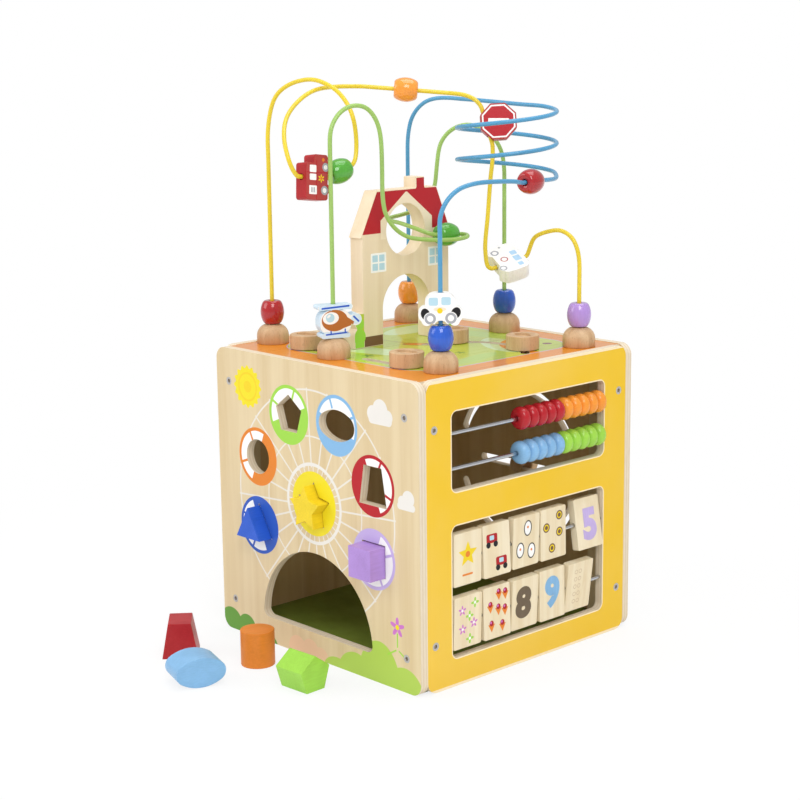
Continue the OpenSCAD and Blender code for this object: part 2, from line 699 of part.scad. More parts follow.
// The house board: walls, hipped roof, two chimneys and a bush at each side
module house() color("indianred") on_top() translate([0, house_y, 0])
    face_x(house_x - house_t, house_t) difference() {
        union() {
            translate([-house_w / 2, 0]) square([house_w, eaves_z + 1]);
            polygon([[-house_w / 2 - 2.5, eaves_z], [house_w / 2 + 2.5, eaves_z],
                [house_w / 2 - 17, ridge_z], [-house_w / 2 + 20, ridge_z]]);
            translate([-7, ridge_z - 1]) square([18, 16]);
            translate([14, ridge_z - 1]) square([12, 12]);
            for (s = [-1, 1]) translate([s * (house_w / 2 + 2), 0]) {
                translate([-11, 0]) square([22, 12]);
                translate([0, 12]) circle(11);
                translate([s * 1, 27]) circle(9);
            }
        }
        translate(house_window_c) circle(house_window_r);
        translate(door_c) circle(door_w / 2);
        translate([door_c[0] - door_w / 2, -cut]) square([door_w, door_c[1] + cut]);
    }

// A dome that holds a wire: a round post with a deep round shoulder
module dome() rotate_extrude() difference() {
    intersection() {
        rrect(2 * dome_r, 2 * dome_h, dome_round);
        square([dome_r, dome_h]);
    }
    translate([-cut, -cut]) square([cut + wire_r + socket_clear, dome_h + 2 * cut]);
}
module wire_domes() color("burlywood") on_top() for (p = legs) translate(p) dome();
module yellow_wire() color("gold") on_top() sweep(smooth(yellow_route), wire_r, wire_sides);
module green_wire() color("yellowgreen") on_top() sweep(smooth(green_route), wire_r, wire_sides);
module blue_wire() color("steelblue") on_top() sweep(smooth(blue_route), wire_r, wire_sides);

// A barrel-shaped wooden bead with flat ends, its bore along Z, centred
bead_bulge = bead_d / 2 - bead_end_r;
bead_side_r = (bead_h * bead_h / 4 + bead_bulge * bead_bulge) / (2 * bead_bulge);
module bead() rotate_extrude() difference() {
    intersection() {
        translate([bead_d / 2 - bead_side_r, 0]) circle(bead_side_r, $fn = 2 * $fn);
        translate([0, -bead_h / 2]) square([bead_d, bead_h]);
    }
    translate([-cut, -bead_h]) square([cut + wire_r + bore_clear, 2 * bead_h]);
}
stand = dome_h + rest_gap;
module bead_on(p) { on_top() translate([p[0], p[1], stand + bead_h / 2]) bead(); }
module bead_along(c, d) { on_top() translate(c) turn_to(d) bead(); }
module bead_d1() color("firebrick") bead_on(leg_1);
module bead_d3() color("orange") bead_on(leg_3);
module bead_d4() color("royalblue") bead_on(leg_4);
module bead_d5() color("royalblue") bead_on(leg_5);
module bead_d6() color("mediumpurple") bead_on(leg_6);
module bead_loop() color("forestgreen") bead_along(loop_bead_c, loop_bead_d);
module bead_ridge() color("orange") bead_along(ridge_c, ridge_d);
module bead_window() color("forestgreen") bead_along(window_bead_c, window_bead_d);
module bead_coil() color("firebrick") bead_along(coil_bead_c, coil_bead_d);

// A flat figure: the outline in X and Z, its foot at z = 0, bored along Z at x = bx
module figure(h, bx) {
    difference() {
        translate([-bx, figure_t / 2, 0]) rotate([90, 0, 0]) linear_extrude(figure_t) children();
        translate([0, 0, -cut]) cylinder(r = wire_r + bore_clear, h = h + 2 * cut);
    }
}
module helicopter() color("azure") on_top()
    translate([leg_2[0], leg_2[1], stand]) rotate([0, 0, 68]) figure(33, -3) {
        translate([-3, 15.5]) rrect(32, 24, 10);
        translate([-3, 30.5]) rrect(36, 5, 2.4);
        translate([-3, 2.5]) rrect(30, 5, 2.4);
        translate([-7, 0.5]) square([8, 31]);
        translate([10, 13]) square([8, 9]);
        translate([18, 17.5]) circle(6);
    }
module car() color("white") on_top()
    translate([leg_4[0], leg_4[1], stand + bead_h + rest_gap]) rotate([0, 0, 47]) figure(30.5, 0)
        difference() {
            union() {
                translate([0, 10.5]) rrect(41.6, 15, 7);
                translate([0, 16]) rrect(29, 29, 10);
                for (s = [-1, 1]) translate([s * 13, 5]) circle(5);
            }
            translate([0, -1.5]) circle(6.5);
        }
// Figures on bent stretches: the outline's X runs along the wire, the part of
// its side elevation that faces the road to +X
module rider(c, d, roll) { on_top() translate(c) turn_to(d) rotate([0, 0, roll]) rotate([0, 90, 0]) children(); }
module rider_solid(half, t) {
    difference() {
        translate([0, t / 2, 0]) rotate([90, 0, 0]) linear_extrude(t) children();
        rotate([0, 90, 0]) cylinder(r = wire_r + bore_clear, h = 4 * half, center = true);
    }
}
module fire_truck() color("firebrick") rider(truck_c, truck_dir, truck_roll) rider_solid(20, figure_t) {
    translate([0, -4]) rrect(28, 36, 3);
    translate([5, 14]) rrect(18, 16, 3);
    for (s = [-1, 1]) translate([12, s * 11]) circle(5);
}
module ambulance() color("white") rider(ambulance_c, ambulance_dir, ambulance_roll) rider_solid(20, figure_t) {
    rrect(28, 44, 8);
    translate([6, 0]) rrect(18, 43, 4);
    for (s = [-1, 1]) translate([13, s * 13]) circle(5);
}
sign_r = 19.5;
sign_off = 12;
sign_roll = 143;
// Turn of the sign's octagon on its wire, so that it stands upright
sign_turn = 13;
module round_sign() color("firebrick") rider(sign_c, sign_d, sign_roll) rider_solid(sign_r, sign_t)
    translate([0, sign_off]) rotate(180 / 8 + sign_turn) circle(sign_r, $fn = 8);

sorter_panel();
abacus_panel();
maze_panel();
gear_panel();
top_board();
floor_board();
corner_posts();
panel_screws();
abacus_rods();
tile_rods();
wire_domes();
yellow_wire();
green_wire();
blue_wire();
house();
beads_red();
beads_orange();
beads_blue();
beads_green();
tile(0);  // tile_1
tile(1);  // tile_2
tile(2);  // tile_3
tile(3);  // tile_4
tile(4);  // tile_5
tile(5);  // tile_6
tile(6);  // tile_7
tile(7);  // tile_8
tile(8);  // tile_9
tile(9);  // tile_10
block_star();
block_triangle();
block_square();
block_trapezoid();
block_oval();
block_round();
block_pentagon();
bead_d1();
bead_loop();
bead_ridge();
bead_d6();
bead_window();
bead_d5();
bead_d3();
bead_coil();
bead_d4();
fire_truck();
round_sign();
helicopter();
ambulance();
car();
puck_1();
puck_2();
puck_3();
puck_4();
gear_left();
gear_middle();
gear_right();
gear_pegs();
maze_slider_1();
maze_slider_2();
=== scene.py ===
"""Looks of a wooden activity cube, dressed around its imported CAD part.

The cube has five play sides: a shape sorter, an abacus with tiles, a sliding
maze, a gear train and a bead maze of bent wires. Lengths in this file are
millimetres in the CAD part's frame, and become metres where a mesh is made.
"""

import json
import logging
import math
from dataclasses import dataclass
from enum import Enum
from functools import reduce
from typing import ClassVar, Optional, Sequence, Union

import bpy
from mathutils import Matrix, Vector
from mathutils.bvhtree import BVHTree


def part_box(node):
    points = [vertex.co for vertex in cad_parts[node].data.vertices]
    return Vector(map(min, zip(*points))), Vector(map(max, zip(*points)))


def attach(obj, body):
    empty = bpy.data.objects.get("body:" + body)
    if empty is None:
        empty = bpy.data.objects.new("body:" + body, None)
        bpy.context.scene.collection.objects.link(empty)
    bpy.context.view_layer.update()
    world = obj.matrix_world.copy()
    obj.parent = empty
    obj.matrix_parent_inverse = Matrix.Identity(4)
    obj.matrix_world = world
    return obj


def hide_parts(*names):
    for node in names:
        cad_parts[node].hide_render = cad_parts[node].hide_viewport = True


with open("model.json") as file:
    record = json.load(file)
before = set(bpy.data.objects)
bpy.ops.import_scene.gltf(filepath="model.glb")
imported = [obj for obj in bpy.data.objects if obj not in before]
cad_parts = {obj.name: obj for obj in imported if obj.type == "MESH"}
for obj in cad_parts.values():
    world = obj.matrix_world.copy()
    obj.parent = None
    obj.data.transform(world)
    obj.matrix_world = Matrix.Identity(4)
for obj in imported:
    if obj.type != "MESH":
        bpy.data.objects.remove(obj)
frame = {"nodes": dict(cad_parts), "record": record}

log = logging.getLogger("activity_cube")

MM = 0.001  # metres in a millimetre
TOP_Z = 299.5  # height of the board that carries the bead maze
HALF = 150.0  # half the cube's side
MERGE = 0.000002  # metres; vertices closer than this become one
CREASE = 34.0  # degrees; flatter edges of boards are shaded smooth
TURNED_CREASE = 50.0  # the same for turned and drawn pieces
FRAME_SIDE = 800  # pixels of the photograph's frame
SENSOR = 36.0  # the camera's sensor width

# Noise cells per metre, along and across the grain.
BAND_ALONG = 3.0
FIBRE = (14.0, 900.0)
FLECK = (260.0, 1500.0)
VENEER_FIBRE = (900.0, 120.0)
LACQUERED_FIBRE = (60.0, 620.0)
BRUSHED = (80.0, 2600.0)

Point = tuple[float, float, float]
Colour = tuple[float, float, float, float]
Outline = list[tuple[float, float]]
Socket = bpy.types.NodeSocket
WHITE_LIGHT: Colour = (1.0, 1.0, 1.0, 1.0)
PAPER: Colour = (0.9, 0.9, 0.9, 1.0)
PAPER_DARK: Colour = (0.86, 0.86, 0.86, 1.0)

# Where things show in the photograph, in pixels; None where it doesn't matter.
IMAGE_POINTS = {
    "cube_right_x": (632.0, None), "object_left_x": (160.5, None),
    "object_top_y": (None, 76.5), "object_bottom_y": (None, 694.5),
    "sorter_screw_low_left": (235.4, 597.8),
    "sorter_screw_high_right": (403.2, 417.3),
    "abacus_screw_low_left": (436.8, 649.0),
    "abacus_screw_high_right": (620.0, 388.0),
    "hub": (313.9, 502.3), "arch_top": (302.8, 550.7),
    "bead_d1": (272.8, 312.0), "bead_ridge": (406.0, 92.0),
    "bead_coil": (531.0, 183.0), "bead_loop": (338.0, 171.0),
    "bead_window": (450.5, 236.0), "block_trapezoid": (180.0, 636.0),
    "block_round": (258.0, 647.0), "numeral_5": (589.3, 523.4),
    "numeral_8": (523.5, 602.2), "numeral_9": (552.3, 591.6),
}

# Places of the marks on the panels' faces, in millimetres.
MARKS = {
    "sorter_screw_low_left": (-130.5, -HALF, 34),
    "sorter_screw_high_right": (130.5, -HALF, 266),
    "abacus_screw_low_left": (HALF, -130.5, 46),
    "abacus_screw_high_right": (HALF, 130.5, 254),
    "hub": (0, -HALF, 160.5),
}
ARCH = (0.0, 27.0, 83.0)  # centre's x and z, and radius, of the sorter's archway
CENTRED = ("bead_d1", "bead_ridge", "bead_coil", "bead_loop", "bead_window",
           "block_trapezoid", "block_round")


class Ink(Enum):
    """Paint and print colours, as red, green and blue from 0 to 255."""

    PANEL_YELLOW = (240, 195, 10)
    SUN = (240, 222, 38)
    STAR = (240, 210, 34)
    ORANGE = (228, 132, 42)
    BEAD_ORANGE = (248, 156, 54)
    BORDER = (232, 142, 20)
    RED = (176, 28, 34)
    BRIGHT_RED = (184, 27, 39)
    ROOF = (184, 34, 44)
    BLUE = (38, 92, 206)
    BEAD_BLUE = (36, 92, 204)
    DISC_BLUE = (48, 92, 190)
    LIGHT_BLUE = (134, 184, 226)
    SKY = (176, 212, 240)
    PANE = (184, 218, 232)
    GREEN = (160, 216, 76)
    BEAD_GREEN = (84, 170, 54)
    FIELD = (188, 206, 66)
    FIELD_PALE = (206, 230, 168)
    GRASS = (178, 208, 88)
    BUSH = (102, 156, 60)
    FLOOR_GREEN = (128, 150, 58)
    PURPLE = (180, 144, 216)
    LILAC = (198, 178, 228)
    PINK = (206, 120, 200)
    WHITE = (250, 249, 247)
    CHALK = (234, 230, 224)
    BLACK = (28, 26, 30)
    GREY = (168, 170, 176)
    BROWN = (120, 88, 62)
    NUMERAL_BROWN = (112, 96, 76)
    BODY_BROWN = (182, 108, 48)
    EARTH = (120, 60, 34)
    PEACH = (232, 196, 160)
    WIRE_YELLOW = (234, 207, 56)
    WIRE_GREEN = (162, 199, 107)
    WIRE_BLUE = (86, 158, 200)
    BIRCH = (229, 210, 172)
    BIRCH_DARK = (214, 190, 146)
    PLY_EDGE = (238, 226, 204)
    RIM = (250, 231, 192)
    INNER = (228, 198, 148)
    INNER_DARK = (208, 172, 118)
    PLY_GLUE = (210, 188, 154)
    BEECH = (218, 187, 148)
    BEECH_DARK = (190, 150, 110)
    TILE = (242, 230, 202)
    TILE_DARK = (226, 206, 166)
    HOUSE = (244, 227, 200)
    HOUSE_DARK = (230, 208, 174)
    HALO = (214, 234, 248)
    STEEL = (206, 208, 212)
    SCREW = (204, 197, 188)
    # painted shade for the screws' sunk sockets
    SOCKET = (150, 138, 124)

    @property
    def linear(self) -> Colour:
        """The colour as Blender's linear RGBA."""
        parts = [v / 255 for v in self.value]
        return (*(v / 12.92 if v <= 0.04045 else ((v + 0.055) / 1.055) ** 2.4
                  for v in parts), 1.0)

    def shade(self, gain: float, lift: float = 0.0) -> Colour:
        """The linear colour made darker or lighter by a factor and an amount."""
        return (*(min(1.0, c * gain + lift) for c in self.linear[:3]), 1.0)


class Graph:
    """Builds the nodes of one material, or of the world."""

    def __init__(self, owner: Union[str, bpy.types.World]) -> None:
        """Starts with no nodes.

        Args:
            owner: A new material's name, or the world.
        """
        self.owner = bpy.data.materials.new(owner) if isinstance(owner, str) else owner
        self.owner.use_nodes = True
        self.tree = self.owner.node_tree
        self.tree.nodes.clear()

    def node(self, kind: str, *sources: object, **settings: object) -> bpy.types.Node:
        """Adds a node.

        Args:
            kind: The node's type, without its leading "ShaderNode".
            sources: What feeds its inputs in order: a socket, a value or None.
            settings: The node's own settings.

        Returns:
            The new node.
        """
        made = self.tree.nodes.new("ShaderNode" + kind)
        for key, value in settings.items():
            setattr(made, key, value)
        for socket, source in zip(made.inputs, sources):
            self.feed(socket, source)
        return made

    def feed(self, socket: Socket, source: object) -> None:
        """Links or sets one input.

        Args:
            socket: The input.
            source: A socket, a value, or None to leave the input as it is.
        """
        if isinstance(source, bpy.types.NodeSocket):
            self.tree.links.new(source, socket)
        elif source is not None:
            socket.default_value = source

    def math(self, operation: str, *sources: object) -> Socket:
        """A Math node's result."""
        return self.node("Math", *sources, operation=operation).outputs[0]

    def vector(self, operation: str, *sources: object) -> Socket:
        """A Vector Math node's vector result."""
        return self.node("VectorMath", *sources, operation=operation).outputs[0]

    def measure(self, operation: str, *sources: object) -> Socket:
        """A Vector Math node's single number, such as a length."""
        return self.node("VectorMath", *sources, operation=operation).outputs[1]

    def mix(self, share: object, below: object, above: object) -> Socket:
        """Mixes two colours.

        Args:
            share: How much of the upper one shows.
            below: The lower colour.
            above: The upper colour.

        Returns:
            The mixed colour.
        """
        made = self.node("Mix", data_type="RGBA")
        for index, source in ((0, share), (6, below), (7, above)):
            self.feed(made.inputs[index], source)
        return made.outputs[2]

    def spread(self, value: Socket, low: float, high: float,
               to_low: float = 0.0, to_high: float = 1.0) -> Socket:
        """Value mapped from low..high to to_low..to_high, clamped."""
        return self.node("MapRange", value, low, high, to_low, to_high).outputs[0]

    def uneven(self, noise: Socket, rough: float, less: float, more: float) -> Socket:
        """Roughness that a noise takes a little below and above its value."""
        return self.spread(noise, 0.3, 0.7, rough - less, rough + more)

    def place(self) -> Socket:
        """The point on the piece, in metres in the CAD part's frame."""
        return self.node("TexCoord").outputs["Object"]

    def noise(self, stretch: Point, detail: float = 3.0, wander: float = 0.0) -> Socket:
        """Noise stretched along the axes.

        Args:
            stretch: Cells per metre along each axis.
            detail: How fine it goes.
            wander: How much it bends.

        Returns:
            A value from 0 to 1.
        """
        moved = self.node("Mapping", self.place(), None, None, stretch).outputs[0]
        made = self.node("TexNoise")
        for key, value in (("Vector", moved), ("Scale", 1.0), ("Detail", detail),
                           ("Distortion", wander)):
            self.feed(made.inputs[key], value)
        return made.outputs[0]

    def cloud(self, cells: float, detail: float = 2.0) -> Socket:
        """Noise with this many cells per metre every way."""
        return self.noise((cells, cells, cells), detail)

    def finish(self, colour: object, rough: object, bump: Optional[Socket] = None,
               bump_depth: float = 0.0, **constants: float) -> bpy.types.Material:
        """Ends the material with a Principled surface.

        Args:
            colour: Base colour, a socket or a linear colour.
            rough: Roughness, a socket or a number.
            bump: Height from 0 to 1.
            bump_depth: What a height of 1 stands for, in metres.
            constants: Other inputs of the Principled node, as plain numbers.

        Returns:
            The material.
        """
        surface = self.node("BsdfPrincipled")
        self.feed(surface.inputs["Base Color"], colour)
        self.feed(surface.inputs["Roughness"], rough)
        for key, value in constants.items():
            surface.inputs[key.replace("_", " ")].default_value = value
        if bump is not None:
            made = self.node("Bump")
            made.inputs["Strength"].default_value = 0.6
            made.inputs["Distance"].default_value = bump_depth
            self.feed(made.inputs["Height"], bump)
            self.feed(surface.inputs["Normal"], made.outputs[0])
        self.node("OutputMaterial", surface.outputs[0])
        return self.owner


class Axis(Enum):
    """Direction of the grain."""

    X = 0
    Y = 1
    Z = 2

    def stretch(self, along: float, across: float) -> Point:
        """Cells per metre on each axis, from those along and across the grain."""
        return tuple(along if i == self.value else across for i in range(3))


@dataclass(frozen=True)
class Wood:
    """Clear-lacquered bare wood; depth is the grain's, in metres, in each finish."""

    name: str
    pale: Ink = Ink.BIRCH
    dark: Ink = Ink.BIRCH_DARK
    grain: Axis = Axis.Z
    rough: float = 0.48
    band: float = 70.0
    flecks: float = 0.0
    depth: ClassVar[float] = 0.00012

    def colour(self, g: Graph) -> tuple[Socket, Socket]:
        """Adds the wood's colour.

        Args:
            g: The material's graph.

        Returns:
            The colour, and the height of the fine grain from 0 to 1.
        """
        wide = g.noise(self.grain.stretch(BAND_ALONG, self.band), wander=0.4)
        bands = g.math("MULTIPLY", g.spread(wide, 0.36, 0.68), 0.62)
        fine = g.noise(self.grain.stretch(*FIBRE), 2.0)
        tone = g.math("MULTIPLY_ADD", fine, 0.35, bands)
        colour = g.mix(tone, self.pale.linear, self.dark.linear)
        if self.flecks:
            specks = g.spread(g.noise(self.grain.stretch(*FLECK), 1.0), 0.62, 0.72)
            share = g.math("MULTIPLY", specks, self.flecks)
            colour = g.mix(share, colour, Ink.BROWN.linear)
        return colour, fine

    def material(self) -> bpy.types.Material:
        """Builds the finish's nodes.

        Returns:
            The material.
        """
        g = Graph(self.name)
        colour, fine = self.colour(g)
        rough = g.uneven(fine, self.rough, 0.05, 0.07)
        return g.finish(colour, rough, fine, self.depth, Coat_Weight=0.05,
                        Coat_Roughness=0.3, Specular_IOR_Level=0.25)


@dataclass(frozen=True)
class PlyEdge:
    """Sanded edge of plywood, its veneers lying across an axis."""

    name: str
    across: Axis
    veneer: float = 1.8
    rough: float = 0.62
    depth: float = 0.0002

    def material(self) -> bpy.types.Material:
        """Builds the finish's nodes.

        Returns:
            The material.
        """
        g = Graph(self.name)
        parts = g.node("SeparateXYZ", g.place()).outputs
        turns = 2 * math.pi / (self.veneer * 2 * MM)
        wave = g.math("SINE", g.math("MULTIPLY", parts[self.across.value], turns))
        layer = g.math("MULTIPLY", g.spread(wave, -0.5, 0.5, 0.0, 0.55), 0.6)
        fibre = g.noise(self.across.stretch(*VENEER_FIBRE))
        tone = g.math("MULTIPLY_ADD", fibre, 0.5, layer)
        colour = g.mix(tone, Ink.PLY_EDGE.linear, Ink.PLY_GLUE.linear)
        return g.finish(colour, self.rough, fibre, self.depth)


@dataclass(frozen=True)
class Lacquer:
    """Coloured lacquer on wood, the grain faint under it."""

    name: str
    ink: Ink
    rough: float = 0.3
    coat: float = 0.35
    grain: Axis = Axis.Z
    depth: float = 0.00006

    def material(self) -> bpy.types.Material:
        """Builds the finish's nodes.

        Returns:
            The material.
        """
        g = Graph(self.name)
        fine = g.noise(self.grain.stretch(*LACQUERED_FIBRE), wander=0.2)
        cloud = g.cloud(45.0)
        tone = g.math("MULTIPLY_ADD", fine, 0.45, g.math("MULTIPLY", cloud, 0.55))
        colour = g.mix(g.spread(tone, 0.3, 0.7), self.ink.shade(1.05, 0.006),
                       self.ink.shade(0.86))
        rough = g.uneven(cloud, self.rough, 0.04, 0.06)
        return g.finish(colour, rough, fine, self.depth, Coat_Weight=self.coat,
                        Coat_Roughness=0.08, Specular_IOR_Level=0.25)


@dataclass(frozen=True)
class Enamel:
    """Smooth gloss enamel on wire, a little uneven in tone."""

    name: str
    ink: Ink
    rough: float = 0.24
    depth: float = 0.00003

    def material(self) -> bpy.types.Material:
        """Builds the finish's nodes.

        Returns:
            The material.
        """
        g = Graph(self.name)
        cloud = g.cloud(22.0)
        colour = g.mix(g.spread(cloud, 0.35, 0.65), self.ink.linear,
                       self.ink.shade(0.92))
        rough = g.uneven(cloud, self.rough, 0.04, 0.06)
        return g.finish(colour, rough, cloud, self.depth, Coat_Weight=0.15,
                        Coat_Roughness=0.16, Specular_IOR_Level=0.3)


@dataclass(frozen=True)
class ScrewMetal:
    """Bright screw heads whose sockets, sunk below the panels' faces, are dark with
    painted shade.
    """

    name: str
    rough: float = 0.42
    depth: float = 0.00002
    sunk: tuple[float, float] = (0.9, 0.5)

    def material(self) -> bpy.types.Material:
        """Builds the finish's nodes.

        Returns:
            The material.
        """
        g = Graph(self.name)
        parts = g.node("SeparateXYZ", g.vector("ABSOLUTE", g.place())).outputs
        out = g.math("MAXIMUM", parts[0], parts[1])
        brush = g.cloud(900.0)
        bright = g.mix(brush, Ink.SCREW.linear, Ink.GREY.linear)
        # below the face, in the socket, painted shade takes the place of the bright
        # metal
        head = g.spread(out, *((HALF - below) * MM for below in self.sunk))
        colour = g.mix(head, Ink.SOCKET.linear, bright)
        rough = g.uneven(brush, self.rough, 0.06, 0.08)
        return g.finish(colour, rough, brush, self.depth, Metallic=0.2)


@dataclass(frozen=True)
class Metal:
    """Bare metal, brushed along an axis."""

    name: str
    ink: Ink
    rough: float
    grain: Axis = Axis.Y
    depth: float = 0.00002

    def material(self) -> bpy.types.Material:
        """Builds the finish's nodes.

        Returns:
            The material.
        """
        g = Graph(self.name)
        brush = g.noise(self.grain.stretch(*BRUSHED), 2.0)
        colour = g.mix(brush, self.ink.linear, self.ink.shade(0.78))
        rough = g.uneven(brush, self.rough, 0.06, 0.08)
        return g.finish(colour, rough, brush, self.depth, Metallic=1.0)


@dataclass(frozen=True)
class Shape:
    """One outline of a print, centred at u, v on the print's plane."""

    u: float
    v: float

    def at(self, g: Graph, uv: Socket) -> Socket:
        """The point seen from the shape's centre."""
        return g.vector("SUBTRACT", uv, (self.u, self.v, 0.0))

    def turned(self, g: Graph, uv: Socket, degrees: float) -> Socket:
        """Looks at a point from the shape's centre and its turned axes.

        Args:
            g: The material's graph.
            uv: The point on the print's plane, in millimetres.
            degrees: The shape's turn, counter-clockwise.

        Returns:
            The point in the shape's own axes.
        """
        here = self.at(g, uv)
        if not degrees:
            return here
        made = g.node("VectorRotate", here, rotation_type="Z_AXIS")
        made.inputs["Angle"].default_value = -math.radians(degrees)
        return made.outputs[0]

    def distance(self, g: Graph, uv: Socket) -> Socket:
        """How far a point lies outside the outline, in millimetres."""
        raise NotImplementedError

    def fold(self, g: Graph, here: Socket, count: int) -> tuple[Socket, Socket]:
        """Folds the plane into one of count equal sectors.

        Args:
            g: The material's graph.
            here: The point seen from the shape's centre.
            count: How many sectors.

        Returns:
            The radius, and the angle from the middle of the sector.
        """
        parts = g.node("SeparateXYZ", here).outputs
        angle = g.math("ARCTAN2", parts[1], parts[0])
        sector = math.pi / count
        return g.measure("LENGTH", here), g.math("WRAP", angle, sector, -sector)


@dataclass(frozen=True)
class Disc(Shape):
    """Filled circle."""

    r: float

    def distance(self, g: Graph, uv: Socket) -> Socket:
        """How far a point lies outside the circle, in millimetres."""
        return g.math("SUBTRACT", g.measure("LENGTH", self.at(g, uv)), self.r)


@dataclass(frozen=True)
class Ring(Shape):
    """Circle drawn as a line."""

    r: float
    line: float

    def distance(self, g: Graph, uv: Socket) -> Socket:
        """How far a point lies beside the line, in millimetres."""
        off = g.math("SUBTRACT", g.measure("LENGTH", self.at(g, uv)), self.r)
        return g.math("SUBTRACT", g.math("ABSOLUTE", off), self.line / 2)


@dataclass(frozen=True)
class Oval(Shape):
    """Filled ellipse."""

    a: float
    b: float
    turn: float = 0.0

    def distance(self, g: Graph, uv: Socket) -> Socket:
        """How far a point lies outside the ellipse, roughly.

        Args:
            g: The material's graph.
            uv: The point on the print's plane, in millimetres.

        Returns:
            The distance in millimetres, below 0 inside.
        """
        here = g.vector("DIVIDE", self.turned(g, uv, self.turn), (self.a, self.b, 1.0))
        off = g.math("SUBTRACT", g.measure("LENGTH", here), 1.0)
        return g.math("MULTIPLY", off, min(self.a, self.b))


@dataclass(frozen=True)
class Bar(Shape):
    """Rectangle with round corners."""

    w: float
    h: float
    r: float = 0.5
    turn: float = 0.0

    def distance(self, g: Graph, uv: Socket) -> Socket:
        """How far a point lies outside the rectangle.

        Args:
            g: The material's graph.
            uv: The point on the print's plane, in millimetres.

        Returns:
            The distance in millimetres, below 0 inside.
        """
        here = g.vector("ABSOLUTE", self.turned(g, uv, self.turn))
        core = (self.w / 2 - self.r, self.h / 2 - self.r, 1.0)
        out = g.vector("MAXIMUM", g.vector("SUBTRACT", here, core), (0.0, 0.0, 0.0))
        return g.math("SUBTRACT", g.measure("LENGTH", out), self.r)


@dataclass(frozen=True)
class Convex(Shape):
    """Convex polygon, its corners given counter-clockwise from the centre."""

    corners: tuple[tuple[float, float], ...]

    def distance(self, g: Graph, uv: Socket) -> Socket:
        """How far a point lies beyond the polygon's nearest side.

        Args:
            g: The material's graph.
            uv: The point on the print's plane, in millimetres.

        Returns:
            The distance in millimetres, below 0 inside.
        """
        here = self.at(g, uv)
        sides = []
        for a, b in zip(self.corners, self.corners[1:] + self.corners[:1]):
            edge = (Vector(b) - Vector(a)).normalized()
            out = Vector((edge.y, -edge.x))
            reach = g.measure("DOT_PRODUCT", here, (out.x, out.y, 0.0))
            sides.append(g.math("SUBTRACT", reach, out.dot(Vector(a))))
        return reduce(lambda a, b: g.math("MAXIMUM", a, b), sides)


@dataclass(frozen=True)
class Half(Shape):
    """Disc cut by a chord at its centre line, the half on one side kept."""

    r: float
    turn: float

    def distance(self, g: Graph, uv: Socket) -> Socket:
        """How far a point lies outside the half disc.

        Args:
            g: The material's graph.
            uv: The point on the print's plane, in millimetres.

        Returns:
            The distance in millimetres, below 0 inside.
        """
        here = self.turned(g, uv, self.turn)
        side = g.math("MULTIPLY", g.node("SeparateXYZ", here).outputs[1], -1.0)
        off = g.math("SUBTRACT", g.measure("LENGTH", here), self.r)
        return g.math("MAXIMUM", off, side)


@dataclass(frozen=True)
class Star(Shape):
    """Star with straight edges, or a polygon where both radii match it."""

    count: int
    r: float
    r_in: float
    turn: float = 90.0

    def distance(self, g: Graph, uv: Socket) -> Socket:
        """How far a point lies beyond the star's edge.

        Args:
            g: The material's graph.
            uv: The point on the print's plane, in millimetres.

        Returns:
            The distance in millimetres, below 0 inside.
        """
        radius, angle = self.fold(g, self.turned(g, uv, self.turn), self.count)
        far = math.pi / self.count
        tip = Vector((self.r, 0.0))
        root = Vector((self.r_in * math.cos(far), self.r_in * math.sin(far)))
        edge = (root - tip).normalized()
        normal = (edge.y, -edge.x)
        x = g.math("MULTIPLY", radius, g.math("COSINE", angle))
        y = g.math("MULTIPLY", radius, g.math("ABSOLUTE", g.math("SINE", angle)))
        lean = g.math("MULTIPLY_ADD", y, normal[1], -self.r * normal[0])
        return g.math("MULTIPLY_ADD", x, normal[0], lean)


@dataclass(frozen=True)
class Petals(Shape):
    """Round flower outline."""

    count: int
    r: float
    wave: float
    turn: float = 90.0

    def distance(self, g: Graph, uv: Socket) -> Socket:
        """How far a point lies outside the flower.

        Args:
            g: The material's graph.
            uv: The point on the print's plane, in millimetres.

        Returns:
            The distance in millimetres, below 0 inside.
        """
        radius, angle = self.fold(g, self.turned(g, uv, self.turn), self.count)
        lobe = g.math("COSINE", g.math("MULTIPLY", angle, float(self.count)))
        edge = g.math("MULTIPLY_ADD", lobe, self.wave, self.r - self.wave)
        return g.math("SUBTRACT", radius, edge)


@dataclass(frozen=True)
class Rays(Shape):
    """Straight spokes between two radii."""

    count: int
    r_in: float
    r: float
    line: float
    turn: float = 0.0

    def distance(self, g: Graph, uv: Socket) -> Socket:
        """How far a point lies beside the nearest spoke.

        Args:
            g: The material's graph.
            uv: The point on the print's plane, in millimetres.

        Returns:
            The distance in millimetres, below 0 inside.
        """
        radius, angle = self.fold(g, self.turned(g, uv, self.turn), self.count)
        off = g.math("ABSOLUTE", g.math("MULTIPLY", radius, g.math("SINE", angle)))
        side = g.math("SUBTRACT", off, self.line / 2)
        along = g.math("ABSOLUTE", g.math("SUBTRACT", radius, (self.r + self.r_in) / 2))
        end = g.math("SUBTRACT", along, (self.r - self.r_in) / 2)
        return g.math("MAXIMUM", side, end)


@dataclass(frozen=True)
class Layer:
    """Outlines printed together in one ink, or all but them where inside out."""

    ink: Ink
    shapes: tuple[Shape, ...]
    inside_out: bool = False
    share: float = 1.0


@dataclass(frozen=True)
class Plane:
    """The plane that a print lies on."""

    origin: Point
    across: Point
    up: Point

    def uv(self, g: Graph) -> Socket:
        """Finds where a point of the piece lies on this plane.

        Args:
            g: The material's graph.

        Returns:
            The point across and up, in millimetres.
        """
        here = g.vector("MULTIPLY", g.place(), (1 / MM, 1 / MM, 1 / MM))
        here = g.vector("SUBTRACT", here, self.origin)
        parts = (g.measure("DOT_PRODUCT", here, way) for way in (self.across, self.up))
        return g.node("CombineXYZ", *parts).outputs[0]


